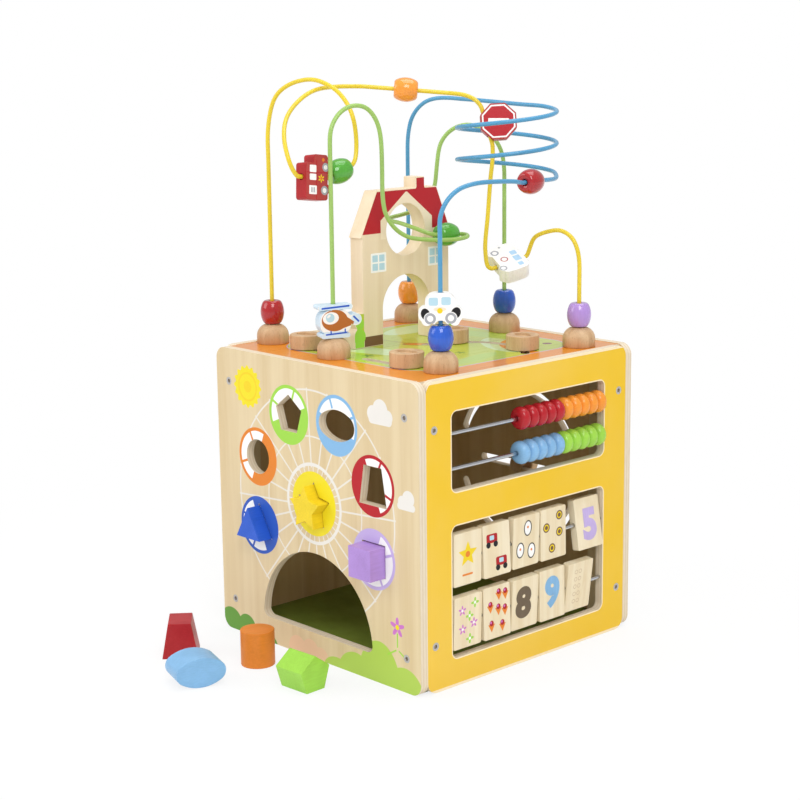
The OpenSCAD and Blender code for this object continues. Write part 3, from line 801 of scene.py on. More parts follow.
@dataclass(frozen=True)
class Print:
    """Layers of ink on wood or on a painted ground."""

    name: str
    plane: Plane
    layers: tuple[Layer, ...]
    wood: Wood
    ground: Optional[Ink] = None
    rough: float = 0.4
    coat: float = 0.06
    coat_rough: float = 0.25
    depth: float = 0.00006
    soft: float = 0.12

    def material(self) -> bpy.types.Material:
        """Builds the finish's nodes.

        Returns:
            The material.
        """
        g = Graph(self.name)
        colour, fine = self.wood.colour(g)
        if self.ground:
            cloud = g.spread(g.cloud(9.0, 3.0), 0.3, 0.7, 0.0, 0.06)
            paint = g.mix(cloud, self.ground.linear, Ink.WHITE.linear)
            colour = g.mix(0.96, colour, paint)
        uv = self.plane.uv(g)
        for layer in self.layers:
            off = reduce(lambda a, b: g.math("MINIMUM", a, b),
                         [s.distance(g, uv) for s in layer.shapes])
            ends = (0.0, layer.share) if layer.inside_out else (layer.share, 0.0)
            share = g.spread(off, -self.soft, self.soft, *ends)
            colour = g.mix(share, colour, layer.ink.linear)
        rough = g.uneven(fine, self.rough, 0.03, 0.05)
        return g.finish(colour, rough, fine, self.depth, Coat_Weight=self.coat,
                        Coat_Roughness=self.coat_rough, Specular_IOR_Level=0.22)


Pose = tuple[Plane, Point]


class Stock:
    """Makes each finish once and hands it out."""

    made: ClassVar[dict[str, bpy.types.Material]] = {}

    @classmethod
    def of(cls, finish: object) -> bpy.types.Material:
        """Makes a finish, or finds it made.

        Args:
            finish: The finish.

        Returns:
            Its material.
        """
        if finish.name not in cls.made:
            cls.made[finish.name] = finish.material()
        return cls.made[finish.name]


RECORD = frame["record"]
BODIES = {node: body for body, nodes in RECORD["behaviour"]["bodies"].items()
          for node in nodes}
PIECES: list[bpy.types.Object] = []  # finished pieces, in the order they are made


def centre(node: str) -> Vector:
    """The middle of a CAD node's box, in millimetres."""
    low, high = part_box(node)
    return (low + high) / 2 / MM


def deselect() -> None:
    """Leaves object mode's selection empty."""
    if bpy.context.object and bpy.context.object.mode != "OBJECT":
        bpy.ops.object.mode_set(mode="OBJECT")
    bpy.ops.object.select_all(action="DESELECT")


def take(piece: bpy.types.Object) -> None:
    """Selects one piece alone and makes it the active one.

    Args:
        piece: The piece.
    """
    deselect()
    piece.select_set(True)
    bpy.context.view_layer.objects.active = piece


def apply_modifier(piece: bpy.types.Object, kind: str, **settings: object) -> None:
    """Adds a modifier and applies it.

    Args:
        piece: The piece.
        kind: The modifier's type.
        settings: Its settings.
    """
    take(piece)
    made = piece.modifiers.new(kind.lower(), kind)
    for key, value in settings.items():
        setattr(made, key, value)
    bpy.ops.object.modifier_apply(modifier=made.name)


def edit_all() -> None:
    """Opens the active piece in edit mode with all of it selected."""
    bpy.ops.object.mode_set(mode="EDIT")
    bpy.ops.mesh.select_all(action="SELECT")


def close_up(piece: bpy.types.Object) -> None:
    """Merges a piece's doubled vertices and turns its faces outwards.

    Args:
        piece: The piece.
    """
    take(piece)
    edit_all()
    bpy.ops.mesh.remove_doubles(threshold=MERGE)
    bpy.ops.mesh.normals_make_consistent(inside=False)
    bpy.ops.object.mode_set(mode="OBJECT")


def smooth(piece: bpy.types.Object, crease: float) -> None:
    """Shades a piece smooth but for edges sharper than crease, in degrees."""
    take(piece)
    bpy.ops.object.shade_smooth_by_angle(angle=math.radians(crease))


def ease_edges(piece: bpy.types.Object, width: float, segments: int = 2,
               sharper_than: float = 40.0) -> None:
    """Rounds a piece's sharp edges and shades it evenly.

    Args:
        piece: The piece.
        width: Radius of the rounding, in millimetres; 0 leaves the edges.
        segments: Steps of the rounding.
        sharper_than: Angle in degrees above which an edge is rounded.
    """
    if width:
        apply_modifier(piece, "BEVEL", width=width * MM, segments=segments,
                       limit_method="ANGLE", angle_limit=math.radians(sharper_than),
                       use_clamp_overlap=True, miter_outer="MITER_ARC")
    smooth(piece, CREASE)
    apply_modifier(piece, "WEIGHTED_NORMAL", weight=100, keep_sharp=True)


def settle(piece: bpy.types.Object, nodes: Sequence[str],
           finishes: Sequence[object]) -> None:
    """Puts a finished piece on its body, with its finishes.

    Args:
        piece: The piece, its place in its mesh.
        nodes: CAD nodes that it stands for; the first gives its body.
        finishes: Its finishes, one for each material index.
    """
    for finish in finishes:
        piece.data.materials.append(Stock.of(finish))
    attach(piece, BODIES[nodes[0]])
    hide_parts(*nodes)
    PIECES.append(piece)
    log.info("%s rides on %s", piece.name, BODIES[nodes[0]])


def twin(piece: bpy.types.Object, name: str) -> bpy.types.Object:
    """Copies a piece.

    Args:
        piece: The piece.
        name: The copy's name.

    Returns:
        The copy, with its own mesh.
    """
    made = bpy.data.objects.new(name, piece.data.copy())
    bpy.context.scene.collection.objects.link(made)
    return made


def merged_copy(node: str, name: str, flatten: bool = True) -> bpy.types.Object:
    """A merged copy of a CAD node's mesh, as a start for its dressed piece.

    Args:
        node: The CAD node.
        name: The new piece's name.
        flatten: Joins triangles that lie in one plane.

    Returns:
        The copy, in place.
    """
    piece = twin(frame["nodes"][node], name)
    piece.data.materials.clear()
    take(piece)
    if piece.data.has_custom_normals:
        bpy.ops.mesh.customdata_custom_splitnormals_clear()
    edit_all()
    bpy.ops.mesh.remove_doubles(threshold=MERGE)
    if flatten:
        bpy.ops.mesh.dissolve_limited(angle_limit=math.radians(0.3))
    bpy.ops.object.mode_set(mode="OBJECT")
    return piece


def cut_away(piece: bpy.types.Object, low: Point, high: Point) -> None:
    """Cuts a box out of a closed piece.

    Args:
        piece: The piece.
        low: The box's lowest corner, in millimetres.
        high: Its highest corner.
    """
    deselect()
    middle = (Vector(low) + Vector(high)) / 2 * MM
    bpy.ops.mesh.primitive_cube_add(size=1, location=middle)
    block = bpy.context.object
    block.scale = (Vector(high) - Vector(low)) * MM
    bpy.ops.object.transform_apply(location=True, rotation=True, scale=True)
    apply_modifier(piece, "BOOLEAN", object=block, operation="DIFFERENCE",
                   solver="EXACT")
    bpy.data.objects.remove(block)


def facing(piece: bpy.types.Object, direction: Point, index: int,
           limit: float = 0.985) -> None:
    """Gives the faces that look along a direction another finish.

    Args:
        piece: The piece.
        direction: The direction.
        index: The finish's material index.
        limit: Cosine of the widest angle between face and direction.
    """
    want = Vector(direction).normalized()
    for face in piece.data.polygons:
        if face.normal.dot(want) > limit:
            face.material_index = index


def dressed(node: str, finishes: Sequence[object], ease: float, segments: int = 2,
            faces: Sequence[tuple[Point, int]] = ()) -> bpy.types.Object:
    """Rounds, finishes and settles a merged copy of a CAD node.

    Args:
        node: The CAD node.
        finishes: Finishes, one for each material index.
        ease: Radius of its rounded edges, in millimetres.
        segments: Steps of the rounding.
        faces: Directions whose faces take another finish, with its index.

    Returns:
        The piece.
    """
    piece = merged_copy(node, node + "_dressed")
    ease_edges(piece, ease, segments)
    for direction, index in faces:
        facing(piece, direction, index)
    settle(piece, [node], finishes)
    return piece


def turned(name: str, profile: Outline, sides: int = 48) -> bpy.types.Object:
    """A piece of revolution about +Z, drawn out ring by ring as on a lathe.

    Args:
        name: The piece's name.
        profile: Radius and height of each ring, in millimetres, from the
            bottom of the bore, outside up, and back through the bore.
        sides: Faces round the piece.

    Returns:
        The piece, at the origin, closed.
    """
    deselect()
    bpy.ops.mesh.primitive_circle_add(vertices=sides, radius=profile[0][0] * MM,
                                      location=(0, 0, profile[0][1] * MM))
    piece = bpy.context.object
    piece.name = piece.data.name = name
    bpy.ops.object.transform_apply(location=True, rotation=True, scale=True)
    edit_all()
    for (r, z), (r_next, z_next) in zip(profile, profile[1:]):
        bpy.ops.mesh.extrude_edges_move(
            TRANSFORM_OT_translate={"value": (0, 0, (z_next - z) * MM)})
        grow = r_next / r
        bpy.ops.transform.resize(value=(grow, grow, 1),
                                 center_override=(0, 0, z_next * MM))
    close_up(piece)
    smooth(piece, TURNED_CREASE)
    return piece


def joined(pieces: Sequence[bpy.types.Object], name: str) -> bpy.types.Object:
    """Joins pieces into the first one.

    Args:
        pieces: The pieces.
        name: The name of what they make.

    Returns:
        The joined piece.
    """
    take(pieces[0])
    for piece in pieces:
        piece.select_set(True)
    bpy.ops.object.join()
    pieces[0].name = pieces[0].data.name = name
    return pieces[0]


def towards(direction: Point) -> Matrix:
    """Turns +Z towards a direction, as the CAD part does.

    Args:
        direction: The direction.

    Returns:
        The turn.
    """
    d = Vector(direction)
    return (Matrix.Rotation(math.atan2(d.y, d.x), 4, "Z")
            @ Matrix.Rotation(math.acos(d.z / d.length), 4, "Y"))


def printed_board(node: str, picture: Print, inside: Wood, out: Point, rim: float,
                  segments: int = 3) -> None:
    """Dresses a plywood board that is printed on its outer face.

    Args:
        node: The CAD node.
        picture: Finish of the outer face.
        inside: Finish of the inner face.
        out: The way the outer face looks, along an axis.
        rim: Radius of its rounded edges, in millimetres.
        segments: Steps of the rounding.
    """
    across = Axis(max(range(3), key=lambda i: abs(out[i])))
    edge = PlyEdge(f"ply_edge_{across.name.lower()}", across)
    into = tuple(-c for c in out)
    dressed(node, [edge, picture, inside], rim, segments, [(out, 1), (into, 2)])


PLY = Wood("plywood_face")
PLY_ALONG_Y = Wood("plywood_face_y", grain=Axis.Y)
INNER_PLY = Wood("plywood_inside", Ink.INNER, Ink.INNER_DARK)
BEECH = Wood("turned_beech", Ink.BEECH, Ink.BEECH_DARK, rough=0.5, band=120.0,
             flecks=0.35)


@dataclass
class SorterSide:
    """The shape sorter: its panel, and the seven shape blocks."""

    rim: float = 1.6
    block_ease: float = 0.7
    ring_r: float = 93.5
    centre_z: float = 158.0
    step_angle: float = 22.5
    disc_r: float = 30.0
    disc_rim: float = 3.5
    bar_r: float = 23.0
    bar_angle: float = 42.0
    hub_r: float = 32.5
    hub_lift: float = 2.5
    sun: tuple[float, float] = (-100.0, 264.0)
    flower: tuple[float, float] = (118.0, 62.0)

    def spot(self, step: float) -> tuple[float, float]:
        """Place of a shape on the ring, in steps from its right."""
        a = math.radians(self.step_angle * step)
        return self.ring_r * math.cos(a), self.centre_z + self.ring_r * math.sin(a)

    def disc(self, step: float, ink: Ink) -> list[Layer]:
        """Prints a two-tone disc round a shape hole, its outer half pale.

        Args:
            step: The hole's step on the ring.
            ink: The disc's colour.

        Returns:
            The layers, in the order of printing.
        """
        u, v = self.spot(step)
        out = self.step_angle * step
        bars = []
        for turn in (out - self.bar_angle, out + self.bar_angle):
            a = math.radians(turn)
            bars.append(Bar(u + self.bar_r * math.cos(a), v + self.bar_r * math.sin(a),
                            12, 2.6, 0.6, turn))
        return [Layer(ink, (Disc(u, v, self.disc_r),)),
                Layer(Ink.WHITE, (Half(u, v, self.disc_r - self.disc_rim, out - 90),)),
                Layer(ink, tuple(bars))]

    def sky(self) -> list[Layer]:
        """Prints the sun and the clouds.

        Returns:
            The layers, in the order of printing.
        """
        u, v = self.sun
        return [
            Layer(Ink.SUN, (Petals(u, v, 16, 22, 1.5),)),
            Layer(Ink.STAR, (Ring(u, v, 14, 2.0), Disc(u, v, 6))),
            Layer(Ink.CHALK, (Disc(88, 264, 8), Disc(98, 269, 10), Disc(108, 263, 7),
                              Bar(98, 259, 32, 9, 4.4))),
            Layer(Ink.CHALK, (Disc(127, 186, 6), Disc(135, 190, 8),
                              Bar(132, 182, 24, 7, 3.4)))]

    def wheel(self) -> list[Layer]:
        """Prints the big wheel, its hub, and the discs round it.

        Returns:
            The layers, in the order of printing.
        """
        z = self.centre_z
        hub_z = z + self.hub_lift
        discs = [layer for step, ink in (
            (7, Ink.ORANGE), (5, Ink.GREEN), (3, Ink.LIGHT_BLUE), (1, Ink.BRIGHT_RED),
            (-1, Ink.LILAC), (9, Ink.DISC_BLUE)) for layer in self.disc(step, ink)]
        return [
            Layer(Ink.CHALK, (Rays(0, z, 24, 39, 118, 1.8, 3.75), Ring(0, z, 70, 1.5),
                              Ring(0, z, 116, 1.8)), share=0.82),
            Layer(Ink.CHALK, (Ring(0, hub_z, 39.5, 3.4),
                              Rays(0, hub_z, 32, 31, 39, 1.0))),
            Layer(Ink.SUN, (Disc(0, hub_z, self.hub_r),)), *discs]

    def ground(self) -> list[Layer]:
        """Prints the path, the bushes, the grass and a flower.

        Returns:
            The layers, in the order of printing.
        """
        u, v = self.flower
        return [
            Layer(Ink.PEACH, (Disc(-30, 4, 14), Disc(-10, 6, 13), Disc(6, 2, 12))),
            Layer(Ink.BUSH, (Disc(-138, 4, 19), Disc(-112, 6, 15), Disc(-92, 0, 12),
                             Disc(-74, -4, 12))),
            Layer(Ink.GRASS, (Oval(92, 0, 30, 42), Oval(58, -2, 26, 24),
                              Oval(128, -2, 26, 26), Oval(30, -4, 20, 14))),
            Layer(Ink.GREEN, (Rays(u, v - 22, 3, 2, 16, 1.6, 90),)),
            Layer(Ink.PINK, (Petals(u, v, 5, 10, 3.2),)),
            Layer(Ink.SUN, (Disc(u, v, 2.6),))]

    def build(self) -> None:
        """Makes the panel and the blocks."""
        plane = Plane((0, -HALF, 0), (1, 0, 0), (0, 0, 1))
        art = (*self.sky(), *self.wheel(), *self.ground())
        printed_board("sorter_panel", Print("sorter_print", plane, art, PLY), PLY,
                      (0, -1, 0), self.rim)
        for node, ink in (("block_star", Ink.STAR), ("block_triangle", Ink.BLUE),
                          ("block_square", Ink.PURPLE), ("block_trapezoid", Ink.RED),
                          ("block_oval", Ink.LIGHT_BLUE), ("block_round", Ink.ORANGE),
                          ("block_pentagon", Ink.GREEN)):
            paint = Lacquer(node + "_paint", ink, 0.42, 0.12, Axis.Y)
            dressed(node, [paint], self.block_ease)


@dataclass
class AbacusSide:
    """The yellow panel with its rods, beads and tiles."""

    sight: "Sight"
    rim: float = 1.8
    bead_d: float = 22.96
    bead_ease: float = 0.6
    pitch: float = 12.4
    gap: float = 0.15
    bore: float = 2.4
    tile_t: float = 8.0
    tile_ease: float = 0.8
    tilts: tuple[float, ...] = (1, -3, 2, -1, -9, 2, -2, 3, -1, 7)
    front: tuple[int, ...] = (5, 8, 9)
    numeral_h: float = 33.0
    numeral_t: float = 0.4
    numeral_bold: float = 0.055
    numeral_inks: tuple[Ink, ...] = (
        Ink.ORANGE, Ink.RED, Ink.BLACK, Ink.STAR, Ink.LILAC, Ink.PINK, Ink.ORANGE,
        Ink.NUMERAL_BROWN, Ink.LIGHT_BLUE, Ink.GREEN)

    def bead(self) -> bpy.types.Object:
        """Turns one flat round bead.

        Returns:
            The bead along +Y, at the origin.
        """
        t = (self.pitch - self.gap) / 2
        flat = self.bead_d / 2 - t
        ease, rim = self.bead_ease, self.bore + self.bead_ease
        arc = [(flat + t * math.cos(a), t * math.sin(a))
               for a in (math.radians(-90 + 15 * k) for k in range(13))]
        profile = [(self.bore, -t + ease), (rim, -t), *arc, (rim, t),
                   (self.bore, t - ease), (self.bore, -t + ease)]
        piece = turned("abacus_bead", profile)
        piece.data.transform(Matrix.Rotation(math.radians(-90), 4, "X"))
        return piece

    def beads(self) -> None:
        """Four rows of five beads."""
        pattern = self.bead()
        for node, ink in (("beads_red", Ink.BRIGHT_RED),
                          ("beads_orange", Ink.BEAD_ORANGE),
                          ("beads_blue", Ink.LIGHT_BLUE),
                          ("beads_green", Ink.GREEN)):
            middle = centre(node)
            row = []
            for k in range(-2, 3):
                made = twin(pattern, f"{node}_{k + 3}")
                place = middle + Vector((0, k * self.pitch, 0))
                made.data.transform(Matrix.Translation(place * MM))
                row.append(made)
            piece = joined(row, node + "_dressed")
            settle(piece, [node], [Lacquer(node + "_paint", ink, 0.22, 0.3, Axis.Y)])
        bpy.data.objects.remove(pattern)

    def motifs(self, k: int) -> tuple[Layer, ...]:
        """Prints a tile with things to count.

        Args:
            k: The tile, from 1; tiles 5, 8 and 9 bear none.

        Returns:
            The layers, in the order of printing.
        """
        if k == 1:
            return (Layer(Ink.STAR, (Star(0, 4, 5, 13, 6),)),
                    Layer(Ink.ORANGE, (Disc(0, 4, 3), Bar(0, -16, 14, 2, 0.9))))
        if k == 2:
            at = ((-6, 12), (6, -12))
            wheels = tuple(Disc(u + s, v - 6, 3) for u, v in at for s in (-5, 5))
            return (Layer(Ink.RED, tuple(Bar(u, v, 15, 9, 2) for u, v in at)),
                    Layer(Ink.BLACK, wheels),
                    Layer(Ink.PANE, tuple(Bar(u, v + 0.6, 6, 4.4, 1) for u, v in at)))
        if k == 3:
            at = ((2, 13), (-8, -8), (8, -11))
            return (Layer(Ink.BLACK, tuple(Oval(u, v, 5.6, 8) for u, v in at)),
                    Layer(Ink.WHITE, tuple(Oval(u, v, 4.4, 6.8) for u, v in at)),
                    Layer(Ink.ORANGE, tuple(Disc(u, v + 1, 1.3) for u, v in at)))
        if k == 4:
            at = ((9, 17), (-10, 7), (9, 0), (-2, -15))
            return (Layer(Ink.BROWN, tuple(Disc(u, v, 4.8) for u, v in at)),
                    Layer(Ink.STAR, tuple(Ring(u, v, 2.8, 1.2) for u, v in at)))
        if k == 6:
            pink, green = ((-8, 12), (-7, -7), (8, -3)), ((9, 17), (2, 5), (3, -18))
            leaves = tuple(Petals(u, v, 4, 5.2, 1.8) for u, v in green)
            return (Layer(Ink.PINK, tuple(Petals(u, v, 5, 5.2, 1.8) for u, v in pink)),
                    Layer(Ink.GREEN, leaves),
                    Layer(Ink.WHITE, tuple(Disc(u, v, 1.5) for u, v in pink + green)))
        if k == 7:
            at = ((3, 18), (12, 17), (-9, 7), (2, 3), (11, 1), (-8, -12), (7, -14))
            cones = tuple(Star(u, v - 2, 3, 5.4, 2.7, -90) for u, v in at)
            return (Layer(Ink.ORANGE, cones),
                    Layer(Ink.RED, tuple(Disc(u, v + 1.6, 2.9) for u, v in at)),
                    Layer(Ink.PINK, tuple(Disc(u - 0.8, v + 2.4, 1.2) for u, v in at)))
        if k == 10:
            at = [(6 * i - 6, 8 * j - 16) for i in range(2) for j in range(5)]
            return (Layer(Ink.PLY_GLUE, tuple(Ring(u, v, 2.0, 0.7) for u, v in at)),)
        return ()

    def numeral(self, k: int, spot: Vector, tilt: float) -> None:
        """A plain number standing a hair proud of a tile's face.

        Args:
            k: The number, which is the tile's too.
            spot: Its place on the tile's face, in millimetres.
            tilt: The tile's tilt on its rod, in degrees.
        """
        deselect()
        bpy.ops.object.text_add()
        text = bpy.context.object.data
        text.body, text.align_x, text.align_y = str(k), "CENTER", "CENTER"
        text.size, text.offset, text.extrude = 1.0, self.numeral_bold, 0.02
        text.resolution_u = 6
        bpy.ops.object.convert(target="MESH")
        piece = bpy.context.object
        piece.name = piece.data.name = f"numeral_{k}"
        low, high = (Vector([pick(v.co[i] for v in piece.data.vertices)
                             for i in range(3)]) for pick in (min, max))
        size = self.numeral_h / (high.y - low.y)
        flat = Matrix.Diagonal((size, size, self.numeral_t / (high.z - low.z), 1))
        stand = Matrix(((0, 0, 1, 0), (1, 0, 0, 0), (0, 1, 0, 0), (0, 0, 0, 1)))
        if k not in self.front:
            stand = Matrix.Rotation(math.pi, 4, "Z") @ stand
        turn = Matrix.Rotation(math.radians(tilt), 4, "Y")
        place = Matrix.Scale(MM, 4) @ Matrix.Translation(spot)
        piece.data.transform(Matrix.Translation(-(low + high) / 2))
        piece.data.transform(place @ turn @ stand @ flat)
        close_up(piece)
        ink = self.numeral_inks[k - 1]
        paint = Lacquer(f"numeral_{ink.name.lower()}", ink, 0.5, 0.0)
        piece.data.materials.append(Stock.of(paint))
        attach(piece, f"tile_{k}")
        PIECES.append(piece)
        log.info("%s rides on tile_%d", piece.name, k)

    def tiles(self) -> None:
        """Ten tiles, each with a number on one face and pictures on the other."""
        for k, tilt in enumerate(self.tilts, 1):
            node = f"tile_{k}"
            lean = math.radians(tilt)
            middle = centre(node)
            plane = Plane(tuple(middle), (0, 1, 0), (math.sin(lean), 0, math.cos(lean)))
            wood = Wood(f"tile_beech_{k}", Ink.TILE, Ink.TILE_DARK, band=60.0 + 9 * k)
            print_ = Print(f"tile_print_{k}", plane, self.motifs(k), wood)
            out = (math.cos(lean), 0, -math.sin(lean))
            tile = dressed(node, [wood, print_], self.tile_ease, faces=[(out, 1)])
            spot = (self.sight.meet(*IMAGE_POINTS[f"numeral_{k}"], [tile]) / MM
                    if k in self.front else middle - Vector(out) * self.tile_t / 2)
            self.numeral(k, spot, tilt)

    def build(self) -> None:
        """Makes the panel and what it carries."""
        plane = Plane((HALF, 0, 0), (0, 1, 0), (0, 0, 1))
        rims = (Layer(Ink.RIM, (Bar(0, 229.5, 218.6, 79.6, 8.3),
                                Bar(0, 93, 218.6, 132.6, 8.3))),
                Layer(Ink.RIM, (Bar(0, 150, 294.6, 294.6, 10),), inside_out=True))
        print_ = Print("yellow_print", plane, rims, PLY, Ink.PANEL_YELLOW, 0.38)
        printed_board("abacus_panel", print_, PLY, (1, 0, 0), self.rim)
        for node in ("abacus_rods", "tile_rods"):
            dressed(node, [Metal("rod_steel", Ink.STEEL, 0.2)], 0.0)
        self.beads()
        self.tiles()


@dataclass
class HiddenSides:
    """The maze panel and the gear panel, which the photograph doesn't show."""

    rim: float = 1.6
    gear_ease: float = 0.6
    peg_ease: float = 1.2
    slider_ease: float = 2.0

    def maze(self) -> None:
        """The back panel, printed round its ring-shaped track."""
        plane = Plane((0, HALF, 0), (-1, 0, 0), (0, 0, 1))
        art = (Layer(Ink.LIGHT_BLUE, (Ring(0, 150, 85, 26),)),
               Layer(Ink.WHITE, (Ring(0, 150, 99, 1.6), Ring(0, 150, 71, 1.6))),
               Layer(Ink.SUN, (Bar(0, 150, 132, 26, 13),)),
               Layer(Ink.GRASS, (Oval(-90, -2, 44, 30), Oval(20, -6, 60, 26),
                                 Oval(118, -2, 34, 34))),
               Layer(Ink.PINK, tuple(Petals(u, 262, 5, 12, 3.5) for u in (-116, 116))),
               Layer(Ink.SUN, tuple(Disc(u, 262, 3.5) for u in (-116, 116))))
        printed_board("maze_panel", Print("maze_print", plane, art, PLY), INNER_PLY,
                      (0, 1, 0), self.rim)

    def gears(self) -> None:
        """The left panel, three gears and the pegs that they turn on."""
        plane = Plane((-HALF, 0, 0), (0, -1, 0), (0, 0, 1))
        art = (Layer(Ink.SKY, (Oval(-70, 250, 34, 12), Oval(60, 258, 30, 10))),
               Layer(Ink.GREEN, (Oval(-80, -4, 60, 40), Oval(70, -6, 70, 34))),
               Layer(Ink.BUSH, (Disc(-10, -2, 22), Disc(20, -4, 20))),
               Layer(Ink.ORANGE, (Ring(0, 130, 50, 2), Ring(64.7, 156.8, 39, 2),
                                  Ring(-64.7, 156.8, 39, 2))))
        printed_board("gear_panel", Print("gear_print", plane, art, PLY), INNER_PLY,
                      (-1, 0, 0), self.rim)
        for node, ink in (("gear_left", Ink.RED), ("gear_middle", Ink.STAR),
                          ("gear_right", Ink.BLUE)):
            paint = Lacquer(node + "_paint", ink, 0.36, 0.2, Axis.Y)
            dressed(node, [paint], self.gear_ease)
        dressed("gear_pegs", [BEECH], self.peg_ease, 3)

    def sliders(self) -> None:
        """The two sliders that run in the maze's track."""
        paint = Lacquer("slider_paint", Ink.RED, 0.28, 0.4, Axis.Y)
        dressed("maze_slider_1", [paint], self.slider_ease, 4)
        dressed("maze_slider_2", [BEECH], self.slider_ease, 4)

    def build(self) -> None:
        """Makes both panels and what they carry."""
        self.maze()
        self.gears()
        self.sliders()


@dataclass
class Carcass:
    """The posts, the floor board and the screws behind the panels."""

    screw_ease: float = 0.25

    def build(self) -> None:
        """Dresses the CAD nodes that stay, and rounds the screws."""
        floor = Lacquer("floor_paint", Ink.FLOOR_GREEN, 0.5, 0.05, Axis.X)
        for node, finish in (("corner_posts", Wood("post_pine", rough=0.6)),
                             ("floor_board", floor)):
            data = frame["nodes"][node].data
            data.materials.clear()
            data.materials.append(Stock.of(finish))
        dressed("panel_screws", [ScrewMetal("screw_steel")], self.screw_ease)


@dataclass
class TopSide:
    """The top board with its pucks, and the house on it."""

    rim: float = 0.6
    puck_ease: float = 0.9
    house_ease: float = 0.9
    house_y: float = 6.5
    ridge_z: float = 157.0
    chimney: tuple[float, float] = (-9.0, 12.6)
    window_u: tuple[float, float] = (-39.0, 41.0)
    window_v: float = 85.0

    def ground(self) -> tuple[Layer, ...]:
        """Prints the ground of the top board.

        Returns:
            The layers, in the order of printing.
        """
        field = Bar(2, 2, 222, 222, 38)
        return (
            Layer(Ink.FIELD, (field,)),
            Layer(Ink.FIELD_PALE, (Oval(-20, -60, 60, 16, 12),
                                   Oval(60, 60, 46, 24, -30),
                                   Oval(60, -50, 30, 10, 20),
                                   Oval(-80, 60, 18, 44, 10))),
            Layer(Ink.GRASS, (Oval(10, -92, 56, 9, -8), Oval(92, -16, 10, 36, 14),
                              Oval(0, 88, 60, 14, 10))),
            Layer(Ink.BUSH, (Petals(5, -80, 5, 7, 2.5), Petals(59, -5, 5, 6, 2),
                             Petals(74, -84, 5, 5, 2))),
            Layer(Ink.BORDER, (Ring(96, 96, 52, 12),)),
            Layer(Ink.EARTH, (Ring(-50, 80, 87, 1.0), Oval(-6, 1, 18, 7, 40),
                              Disc(86, 93, 5))),
            Layer(Ink.BORDER, (Oval(-6, 1, 15, 4.4, 40),)),
            Layer(Ink.LILAC, (field,), inside_out=True),
            Layer(Ink.BORDER, (Bar(2, 2, 225, 225, 40),), inside_out=True),
        )

    def front(self) -> tuple[Layer, ...]:
        """Prints the house's roof, gable, windows, step and bushes.

        Returns:
            The layers, in the order of printing.
        """
        v = self.window_v
        gable = ((-36, 108), (36, 108), (36, 127), (1, 154), (-1, 154), (-36, 127))
        panes = tuple(Bar(u + i * 4.6, v + j * 4.3, 7.4, 7.0, 0.6)
                      for u in self.window_u for i in (-1, 1) for j in (-1, 1))
        return (
            Layer(Ink.ROOF, (Bar(0.5, 138, 140, 47, 0.4), Bar(20, 160, 12, 14, 0.4))),
            Layer(Ink.HOUSE, (Convex(0.5, 0, gable),)),
            Layer(Ink.WHITE, tuple(Bar(u, v, 21, 19.6, 1) for u in self.window_u)),
            Layer(Ink.PANE, panes),
            Layer(Ink.BROWN, (Bar(-46, 5, 27, 12, 0.4),)),
            Layer(Ink.FIELD, (Bar(-65, 16, 10, 40, 0.4), Bar(69, 16, 18, 40, 0.4))),
            Layer(Ink.GREEN, (Disc(-66, 12, 8), Disc(-66, 25, 6),
                              Bar(-66, 3, 12, 12, 0.4), Disc(68, 12, 8),
                              Disc(69, 25, 6), Bar(68, 3, 12, 12, 0.4))),
        )

    def house(self) -> None:
        """Dresses the house board, with one chimney and both faces printed alike."""
        y, z = self.house_y, TOP_Z
        wall = Wood("house_ply", Ink.HOUSE, Ink.HOUSE_DARK, rough=0.5)
        plane = Plane((0, y, z), (0, 1, 0), (0, 0, 1))
        print_ = Print("house_print", plane, self.front(), wall)
        piece = merged_copy("house", "house_dressed")
        start, end = self.chimney
        cut_away(piece, (-80, y + start, z + self.ridge_z),
                 (0, y + end, z + self.ridge_z + 30))
        ease_edges(piece, self.house_ease)
        facing(piece, (1, 0, 0), 1)
        facing(piece, (-1, 0, 0), 1)
        settle(piece, ["house"], [wall, print_])

    def build(self) -> None:
        """Makes the board, the pucks and the house."""
        plane = Plane((0, 0, 0), (1, 0, 0), (0, 1, 0))
        print_ = Print("top_print", plane, self.ground(), PLY_ALONG_Y, Ink.BORDER, 0.3,
                       0.6, 0.05)
        printed_board("top_board", print_, PLY_ALONG_Y, (0, 0, 1), self.rim, 2)
        for k in range(1, 5):
            dressed(f"puck_{k}", [BEECH], self.puck_ease, 3)
        self.house()


